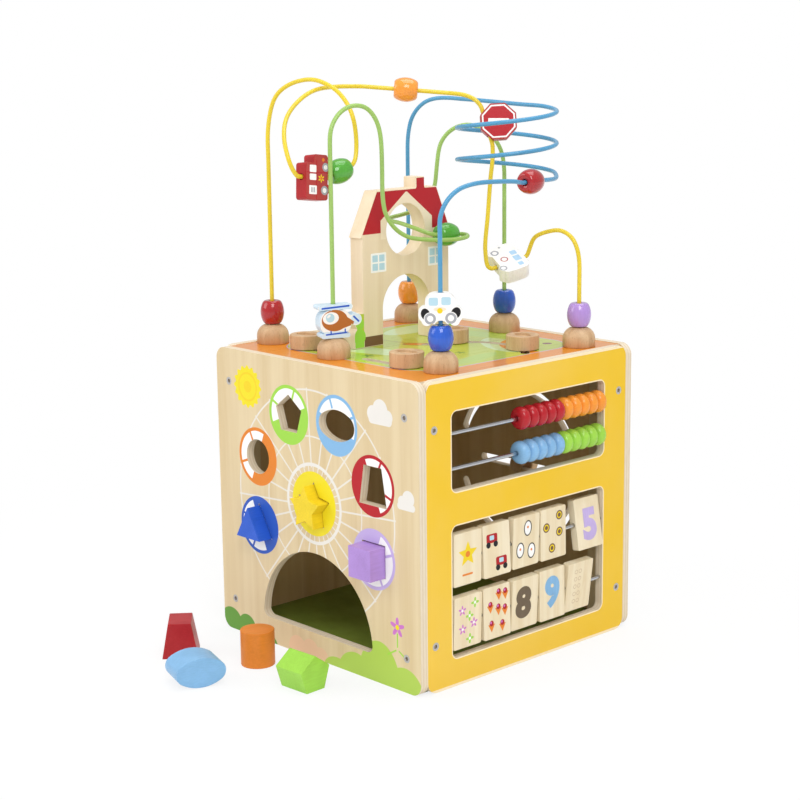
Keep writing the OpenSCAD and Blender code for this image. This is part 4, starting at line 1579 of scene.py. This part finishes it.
@dataclass
class BeadMaze:
    """The three wires, their domes and the beads on them."""

    wire_r: float = 2.25
    drawn_r: float = 2.18
    ring_sides: int = 8
    path_order: int = 4
    path_steps: int = 3
    round_steps: int = 6
    bead_r: float = 12.25
    bead_half: float = 12.0
    bead_sides: int = 56
    end_r: float = 8.6
    end_flat: float = 1.2
    end_ease: tuple[float, float] = (0.3, 0.35)
    bore: float = 3.05
    bore_ease: float = 0.8
    dome_r: float = 16.5
    dome_h: float = 20.0
    dome_round: float = 12.0
    dome_play: float = 0.3
    dome_foot: float = 0.6
    dome_lip: tuple[float, float] = (0.3, 0.4)
    feet: tuple[tuple[float, float], ...] = (
        (-124, -96), (-12, -110), (-124, 98), (118, -90), (0, 120), (120, 103))

    def centreline(self, node: str) -> list[Vector]:
        """The middle of each ring of vertices along the CAD part's wire.

        Args:
            node: The wire's CAD node.

        Returns:
            The middles, from the wire's lowest end to its other end.
        """
        piece = merged_copy(node, node + "_rings", flatten=False)
        spots = [v.co.copy() for v in piece.data.vertices]
        beside: list[set[int]] = [set() for _ in spots]
        for edge in piece.data.edges:
            first, last = edge.vertices
            beside[first].add(last)
            beside[last].add(first)
        foot = min(spots, key=lambda spot: (round(spot.z / MM, 1), spot.x, spot.y))
        nearest = sorted(range(len(spots)), key=lambda k: (spots[k] - foot).length)
        ring = set(nearest[:self.ring_sides])
        seen: set[int] = set()
        middles = []
        while ring:
            middles.append(sum((spots[k] for k in ring), Vector()) / len(ring))
            seen |= ring
            ring = {other for k in ring for other in beside[k]} - seen
        bpy.data.objects.remove(piece)
        return middles

    def wire(self, node: str, ink: Ink) -> None:
        """Draws a round, smooth wire along the middle of the CAD part's.

        Args:
            node: The wire's CAD node.
            ink: Its colour.
        """
        route = self.centreline(node)
        deselect()
        bpy.ops.curve.primitive_nurbs_path_add(location=(0, 0, 0))
        piece = bpy.context.object
        piece.name = piece.data.name = node + "_dressed"
        curve = piece.data
        curve.dimensions = "3D"
        curve.twist_mode = "MINIMUM"
        curve.splines.clear()
        path = curve.splines.new("NURBS")
        path.points.add(len(route) - 1)
        for point, spot in zip(path.points, route):
            point.co = (*spot, 1.0)
        path.order_u = self.path_order
        path.use_endpoint_u = True
        path.resolution_u = self.path_steps
        curve.bevel_depth = self.drawn_r * MM
        curve.bevel_resolution = self.round_steps
        curve.use_fill_caps = True
        take(piece)
        bpy.ops.object.convert(target="MESH")
        piece = bpy.context.object
        close_up(piece)
        smooth(piece, TURNED_CREASE)
        settle(piece, [node], [Enamel(node + "_enamel", ink)])

    def bead_profile(self) -> Outline:
        """Draws a barrel with eased rims and a bore.

        Returns:
            The outline, as turned() takes it.
        """
        drop = self.bead_r - self.end_r
        big = (self.bead_half ** 2 + drop ** 2) / (2 * drop)
        side = [(self.bead_r - big + math.sqrt(big ** 2 - z * z), z)
                for z in (self.bead_half * k / 8 for k in range(-7, 8))]
        inset, rise = self.end_ease
        low = [(self.bore, -self.bead_half + self.bore_ease),
               (self.bore + self.bore_ease, -self.bead_half),
               (self.end_r - self.end_flat, -self.bead_half),
               (self.end_r - inset, -self.bead_half + rise)]
        high = [(r, -z) for r, z in reversed(low)]
        return [*low, *side, *high, low[0]]

    def beads(self) -> None:
        """Nine barrel beads, each turned to its stretch of wire."""
        pattern = turned("barrel_bead", self.bead_profile(), self.bead_sides)
        for node, ink, lean in (
                ("bead_d1", Ink.RED, (0, 0, 1)),
                ("bead_d3", Ink.BEAD_ORANGE, (0, 0, 1)),
                ("bead_d4", Ink.BEAD_BLUE, (0, 0, 1)),
                ("bead_d5", Ink.BEAD_BLUE, (0, 0, 1)),
                ("bead_d6", Ink.PURPLE, (0, 0, 1)),
                ("bead_loop", Ink.BEAD_GREEN, (-10, -95, -28)),
                ("bead_ridge", Ink.BEAD_ORANGE, (70, 75, -9)),
                ("bead_window", Ink.BEAD_GREEN, (-1, -20, 1)),
                ("bead_coil", Ink.RED, (4, -19, 0))):
            piece = twin(pattern, node + "_dressed")
            place = Matrix.Translation(centre(node) * MM)
            piece.data.transform(place @ towards(lean))
            settle(piece, [node], [Lacquer(f"bead_{ink.name.lower()}", ink, 0.16, 0.8)])
        bpy.data.objects.remove(pattern)

    def domes(self) -> None:
        """Six turned domes as one piece."""
        r, h, bend = self.dome_r, self.dome_h, self.dome_round
        bore = self.wire_r + self.dome_play
        arc = [(r - bend + bend * math.cos(a), h - bend + bend * math.sin(a))
               for a in (math.radians(7.5 * k) for k in range(13))]
        foot, (lip, drop) = self.dome_foot, self.dome_lip
        profile = [(bore, 0.0), (r - foot, 0.0), (r, foot), *arc, (bore + lip, h),
                   (bore, h - drop), (bore, 0.0)]
        pattern = turned("dome", profile, self.bead_sides)
        row = []
        for k, (x, y) in enumerate(self.feet, 1):
            made = twin(pattern, f"dome_{k}")
            made.data.transform(Matrix.Translation(Vector((x, y, TOP_Z)) * MM))
            row.append(made)
        bpy.data.objects.remove(pattern)
        settle(joined(row, "wire_domes_dressed"), ["wire_domes"], [BEECH])

    def build(self) -> None:
        """Makes the domes, wires and beads."""
        self.domes()
        self.wire("yellow_wire", Ink.WIRE_YELLOW)
        self.wire("green_wire", Ink.WIRE_GREEN)
        self.wire("blue_wire", Ink.WIRE_BLUE)
        self.beads()


@dataclass
class Figures:
    """The flat figures that ride on the wires."""

    stand: float = 20.3
    bead_h: float = 24.0
    rest_gap: float = 0.3
    ease: float = 0.8
    sign_ease: float = 0.6

    def upright(self, leg: tuple[float, float], lift: float, turn: float,
                shift: float) -> Pose:
        """Plane of a figure that stands on a leg, and the way its face looks.

        Args:
            leg: The leg's x and y.
            lift: Height of the figure's foot over the board.
            turn: Its turn about the leg, in degrees.
            shift: Where the outline's middle line lies from the leg.

        Returns:
            The plane and the face's direction.
        """
        c, s = math.cos(math.radians(turn)), math.sin(math.radians(turn))
        origin = (leg[0] + shift * c, leg[1] + shift * s, TOP_Z + lift)
        return Plane(origin, (c, s, 0), (0, 0, 1)), (s, -c, 0)

    def riding(self, middle: Point, direction: Point, roll: float) -> Pose:
        """Plane of a figure on a bend, and the way its face looks.

        Args:
            middle: The figure's place, its height measured from the board.
            direction: The way the wire runs there.
            roll: The figure's turn about the wire, in degrees.

        Returns:
            The plane and the face's direction.
        """
        turn = (towards(direction) @ Matrix.Rotation(math.radians(roll), 4, "Z")
                @ Matrix.Rotation(math.radians(90), 4, "Y")).to_3x3()
        origin = Vector(middle) + Vector((0, 0, TOP_Z))
        return (Plane(tuple(origin), tuple(turn.col[0]), tuple(turn.col[2])),
                tuple(-turn.col[1]))

    def figure(self, node: str, where: Pose, ground: Ink, layers: tuple[Layer, ...],
               ease: float, rim: Optional[Ink] = None) -> None:
        """Dresses one figure, printed on both of its faces.

        Args:
            node: The CAD node.
            where: The print's plane, and the way the figure's face looks.
            ground: Colour of its faces.
            layers: What is printed on them.
            ease: Radius of its rounded edges, in millimetres.
            rim: Colour of its edge, where it isn't the ground's.
        """
        plane, face = where
        side = Lacquer(node + "_edge", rim or ground, 0.4, 0.15)
        wood = Wood(node + "_wood")
        print_ = Print(node + "_print", plane, layers, wood, ground, 0.3)
        back = tuple(-c for c in face)
        dressed(node, [side, print_], ease, 3, [(face, 1), (back, 1)])

    def helicopter(self) -> None:
        """The helicopter over the front dome."""
        where = self.upright((-12, -110), self.stand, 68, 3)
        self.figure("helicopter", where, Ink.WHITE, (
            Layer(Ink.HALO, (Bar(-3, 30.4, 34, 6, 2.4), Bar(-3, 3.4, 30, 6.6, 2.4),
                             Disc(18.2, 18, 5.2))),
            Layer(Ink.BLUE, (Bar(-3, 30.6, 29, 1.8, 0.8, 3),
                             Bar(-1, 4.6, 25, 1.6, 0.7, 3), Bar(-8, 6.4, 1.4, 4, 0.3),
                             Bar(6.6, 7, 1.4, 4, 0.3),
                             Bar(18.2, 18, 8.4, 1.8, 0.8, -45))),
            Layer(Ink.BODY_BROWN, (Oval(-4, 17.6, 13.4, 10.6), Convex(
                0, 0, ((0, 8), (15, 12.5), (16, 15.5), (2, 25))))),
            Layer(Ink.WHITE, (Oval(-8, 20, 8.2, 6, 5),)),
            Layer(Ink.PANE, (Disc(-8.6, 20.4, 4.4),)),
            Layer(Ink.WHITE, (Oval(-10, 22, 2.2, 1.2, 40),)),
        ), self.ease, Ink.HALO)

    def car(self) -> None:
        """The car that stands on the corner bead."""
        lift = self.stand + self.bead_h + self.rest_gap
        where = self.upright((118, -90), lift, 47, 0)
        self.figure("car", where, Ink.WHITE, (
            Layer(Ink.PANE, (Bar(-6.8, 22.8, 8.8, 7.6, 1.8),
                             Bar(5, 23.2, 8.8, 7.6, 1.8))),
            Layer(Ink.BLACK, (Oval(-14.2, 11, 4.2, 5.6, 16),
                              Oval(14, 12, 4.4, 5.6, -24))),
            Layer(Ink.PLY_EDGE, (Oval(-0.8, 15.6, 6, 2),)),
            Layer(Ink.WHITE, (Disc(-9.8, 6.8, 6), Disc(9.4, 7.2, 6))),
            Layer(Ink.GREY, (Disc(-9.8, 6.8, 5.3), Disc(9.4, 7.2, 5.3))),
            Layer(Ink.WHITE, (Disc(-9.8, 6.8, 2.9), Disc(9.4, 7.2, 2.9))),
            Layer(Ink.STAR, (Disc(-0.8, 14.2, 2.6),)),
        ), self.ease)

    def fire_truck(self) -> None:
        """The fire truck on the yellow wire's loop."""
        where = self.riding((-29, -119, 176), (0, -99, 12), 186)
        self.figure("fire_truck", where, Ink.RED, (
            Layer(Ink.ROOF, (Bar(-0.5, -3, 1, 38, 0.3), Bar(0, 4.6, 26, 0.8, 0.3))),
            Layer(Ink.WHITE, (Bar(-5, 8, 8.4, 7, 1), Bar(-5, 0, 8.4, 6, 1),
                              Bar(-5, -12.4, 9.6, 8.4, 0.8))),
            Layer(Ink.GREY, (Bar(-6.4, -12.4, 1.6, 5, 0.4),
                             Bar(-3.6, -12.4, 1.6, 5, 0.4))),
            Layer(Ink.STAR, (Petals(5.4, -1, 6, 4, 1.2),)),
            Layer(Ink.ORANGE, (Disc(8, 17, 1.7), Disc(5.4, -1, 1.6))),
            Layer(Ink.PINK, (Disc(8.4, 9.6, 1.7),)),
            Layer(Ink.GREY, (Disc(9.6, -12.4, 4.4), Disc(11, 10, 4.2))),
            Layer(Ink.WHITE, (Disc(9.6, -12.4, 2.4), Disc(11, 10, 2.2))),
        ), self.ease)

    def ambulance(self) -> None:
        """The ambulance in the yellow wire's dip."""
        where = self.riding((47, 78, 81), (35, 90, 26), 297)
        self.figure("ambulance", where, Ink.WHITE, (
            Layer(Ink.SKY, (Bar(-7, -4.6, 7, 6.6, 1.2), Bar(-6.4, 5, 7.4, 8.6, 1.2),
                            Bar(-5.4, 14.8, 5.6, 5.6, 1.2))),
            Layer(Ink.RED, (Ring(6.2, 1, 3.4, 1.0),)),
            Layer(Ink.GREY, (Ring(10, -12.6, 3.4, 1.9), Ring(14, 13.4, 3.2, 1.6),
                             Disc(1.6, -18.6, 1.4))),
        ), self.ease)

    def sign(self) -> None:
        """The red sign by the coil: two eight-sided rims and a bar, no lettering."""
        where = self.riding((31, 62, 220), (7, 1.5, -20), 143)
        flat = math.cos(math.pi / 8)
        self.figure("round_sign", where, Ink.RED, (
            Layer(Ink.WHITE, (Star(0, 12, 8, 17.9, 17.9 * flat, 35.5),)),
            Layer(Ink.BRIGHT_RED, (Star(0, 12, 8, 16.3, 16.3 * flat, 35.5),)),
            Layer(Ink.WHITE, (Bar(0, 12, 21, 5.6, 0.8, 107),)),
        ), self.sign_ease)

    def build(self) -> None:
        """Makes the five figures."""
        self.helicopter()
        self.car()
        self.fire_truck()
        self.ambulance()
        self.sign()


@dataclass
class Studio:
    """Camera, lights, world and floor."""

    place: Point = (1285.96, -1231.04, 607.71)
    azimuth: float = 0.82082
    elevation: float = 0.2024
    roll: float = -0.01188
    focal_px: float = 1768.8
    aim: Point = (0.0, 0.0, 0.2)
    lamps: tuple[tuple[str, Point, float, float], ...] = (
        ("key", (2.2, -1.6, 2.6), 1.6, 48.0),
        ("fill", (-1.6, -2.4, 1.8), 1.8, 26.0),
        ("top", (0.2, 0.4, 3.0), 2.0, 34.0))
    daylight: float = 0.58
    floor_size: float = 14.0
    shadow_r: float = 0.2
    paper_r: float = 0.75
    paper: float = 0.8

    def axes(self) -> tuple[Vector, Vector, Vector]:
        """Works out the camera's axes.

        Returns:
            Its forward, right and up directions.
        """
        a, e = self.azimuth, self.elevation
        level = math.cos(e)
        forward = Vector((-math.sin(a) * level, math.cos(a) * level, -math.sin(e)))
        right = forward.cross(Vector((0, 0, 1))).normalized()
        up = right.cross(forward)
        c, s = math.cos(self.roll), math.sin(self.roll)
        return forward, right * c + up * s, up * c - right * s

    def camera(self) -> bpy.types.Object:
        """Adds the camera at the photograph's viewing angle.

        Returns:
            The camera.
        """
        data = bpy.data.cameras.new("camera")
        data.sensor_fit = "AUTO"
        data.sensor_width = SENSOR
        data.lens = self.focal_px / FRAME_SIDE * SENSOR
        data.clip_end = 50.0
        made = bpy.data.objects.new("camera", data)
        bpy.context.scene.collection.objects.link(made)
        forward, right, up = self.axes()
        turn = Matrix((right, up, -forward)).transposed().to_4x4()
        made.matrix_world = Matrix.Translation(Vector(self.place) * MM) @ turn
        bpy.context.scene.camera = made
        return made

    def lamp(self, name: str, place: Point, size: float, watts: float) -> None:
        """Adds a soft square lamp that looks at the cube.

        Args:
            name: The lamp's name.
            place: Its place, in metres.
            size: The square's side, in metres.
            watts: Its power.
        """
        data = bpy.data.lights.new(name, "AREA")
        data.shape, data.size, data.energy = "SQUARE", size, watts
        made = bpy.data.objects.new(name, data)
        bpy.context.scene.collection.objects.link(made)
        made.location = place
        look = Vector(self.aim) - Vector(place)
        made.rotation_euler = look.to_track_quat("-Z", "Y").to_euler()

    def floor(self) -> None:
        """A pale floor that keeps the cube's shadow."""
        deselect()
        bpy.ops.mesh.primitive_plane_add(size=self.floor_size, location=(0, 0, 0))
        floor = bpy.context.object
        floor.name = "studio_floor"
        g = Graph("studio_paper")
        tone = g.spread(g.cloud(2.0), 0.3, 0.7, 0.0, 0.02)
        matt = g.node("BsdfDiffuse", g.mix(tone, PAPER, PAPER_DARK))
        glow = g.node("Emission", WHITE_LIGHT, 1.0)
        path = g.node("LightPath").outputs
        seen = g.math("MAXIMUM", path["Is Camera Ray"], path["Is Glossy Ray"])
        seen = g.math("MAXIMUM", seen, path["Is Transmission Ray"])
        away = g.measure("LENGTH", g.place())
        bare = g.spread(away, self.shadow_r, self.paper_r, self.paper, 1.0)
        share = g.math("MULTIPLY", seen, bare)
        both = g.node("MixShader", share, matt.outputs[0], glow.outputs[0])
        g.node("OutputMaterial", both.outputs[0])
        floor.data.materials.append(g.owner)

    def world(self) -> None:
        """A world that is white where it shows and soft where it lights."""
        made = bpy.data.worlds.new("studio_world")
        bpy.context.scene.world = made
        g = Graph(made)
        path = g.node("LightPath").outputs
        seen = g.math("MAXIMUM", path["Is Camera Ray"], path["Is Transmission Ray"])
        strength = g.spread(seen, 0.0, 1.0, self.daylight, 1.0)
        light = g.node("Background", WHITE_LIGHT, strength)
        g.node("OutputWorld", light.outputs[0])

    def build(self) -> bpy.types.Object:
        """Makes the studio.

        Returns:
            Its camera.
        """
        bpy.context.scene.view_settings.view_transform = "Standard"
        self.floor()
        self.world()
        for lamp in self.lamps:
            self.lamp(*lamp)
        return self.camera()


@dataclass
class Sight:
    """Tells where things show in the photograph's frame."""

    camera: bpy.types.Object
    width: int = FRAME_SIDE
    height: int = FRAME_SIDE

    @property
    def side(self) -> int:
        """The frame's longer side."""
        return max(self.width, self.height)

    def pixel(self, point: Vector) -> tuple[float, float]:
        """Finds where a point shows.

        Args:
            point: The point, in metres.

        Returns:
            Its x and y in the frame.
        """
        here = self.camera.matrix_world.inverted() @ point
        data = self.camera.data
        scale = self.side * data.lens / data.sensor_width / -here.z
        return (self.width / 2 + here.x * scale - data.shift_x * self.side,
                self.height / 2 - here.y * scale + data.shift_y * self.side)

    def ray(self, x: float, y: float) -> tuple[Vector, Vector]:
        """Follows a pixel into the scene.

        Args:
            x: The pixel's x.
            y: The pixel's y.

        Returns:
            The camera's place, and the direction through the pixel.
        """
        data = self.camera.data
        local = Vector((x - self.width / 2 + data.shift_x * self.side,
                        self.height / 2 - y + data.shift_y * self.side,
                        -self.side * data.lens / data.sensor_width))
        turn = self.camera.matrix_world.to_3x3()
        return self.camera.matrix_world.translation.copy(), (turn @ local).normalized()

    def meet(self, x: float, y: float, carriers: Sequence[bpy.types.Object]) -> Vector:
        """The place on carriers that shows at a pixel, or the one nearest its ray.

        Args:
            x: The pixel's x.
            y: The pixel's y.
            carriers: Finished pieces.

        Returns:
            The place, in metres.
        """
        start, way = self.ray(x, y)
        best, near = None, None
        for piece in carriers:
            tree = BVHTree.FromObject(piece, bpy.context.evaluated_depsgraph_get())
            hit = tree.ray_cast(start, way)
            if hit[0] and (best is None or hit[3] < best[1]):
                best = (hit[0], hit[3])
            for vertex in piece.data.vertices:
                gap = (vertex.co - start).cross(way).length
                if near is None or gap < near[1]:
                    near = (vertex.co.copy(), gap)
        return best[0] if best else near[0]


def write_points(sight: Sight) -> None:
    """Works out where each image point shows in the frame; nothing is kept.

    Args:
        sight: Where things show in the frame.
    """
    shown = {name: sight.pixel(Vector(place) * MM) for name, place in MARKS.items()}
    shown |= {name: sight.pixel(centre(name) * MM) for name in CENTRED}
    corners = [sight.pixel(v.co) for piece in PIECES for v in piece.data.vertices]
    xs, ys = zip(*corners)
    back = bpy.data.objects["maze_panel_dressed"].data
    shown["cube_right_x"] = (max(sight.pixel(v.co)[0] for v in back.vertices), None)
    shown["object_left_x"] = (min(xs), None)
    shown["object_top_y"] = (None, min(ys))
    shown["object_bottom_y"] = (None, max(ys))
    x, z, r = ARCH
    arch = (Vector((x + r * math.cos(a), -HALF, z + r * math.sin(a)))
            for a in (math.radians(k) for k in range(30, 151)))
    shown["arch_top"] = min((sight.pixel(spot * MM) for spot in arch),
                            key=lambda pixel: pixel[1])
    for name in ("numeral_5", "numeral_8", "numeral_9"):
        outline = [sight.pixel(v.co) for v in bpy.data.objects[name].data.vertices]
        shown[name] = tuple((min(line) + max(line)) / 2 for line in zip(*outline))


def main() -> None:
    """Builds the studio, then every sub-assembly."""
    logging.basicConfig(level=logging.INFO, format="%(name)s: %(message)s")
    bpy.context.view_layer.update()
    sight = Sight(Studio().build())
    bpy.context.view_layer.update()
    for part in (SorterSide(), AbacusSide(sight), HiddenSides(), Carcass(), TopSide(),
                 BeadMaze(), Figures()):
        log.info("building %s", type(part).__name__)
        part.build()
    write_points(sight)


if __name__ == "__main__":
    main()
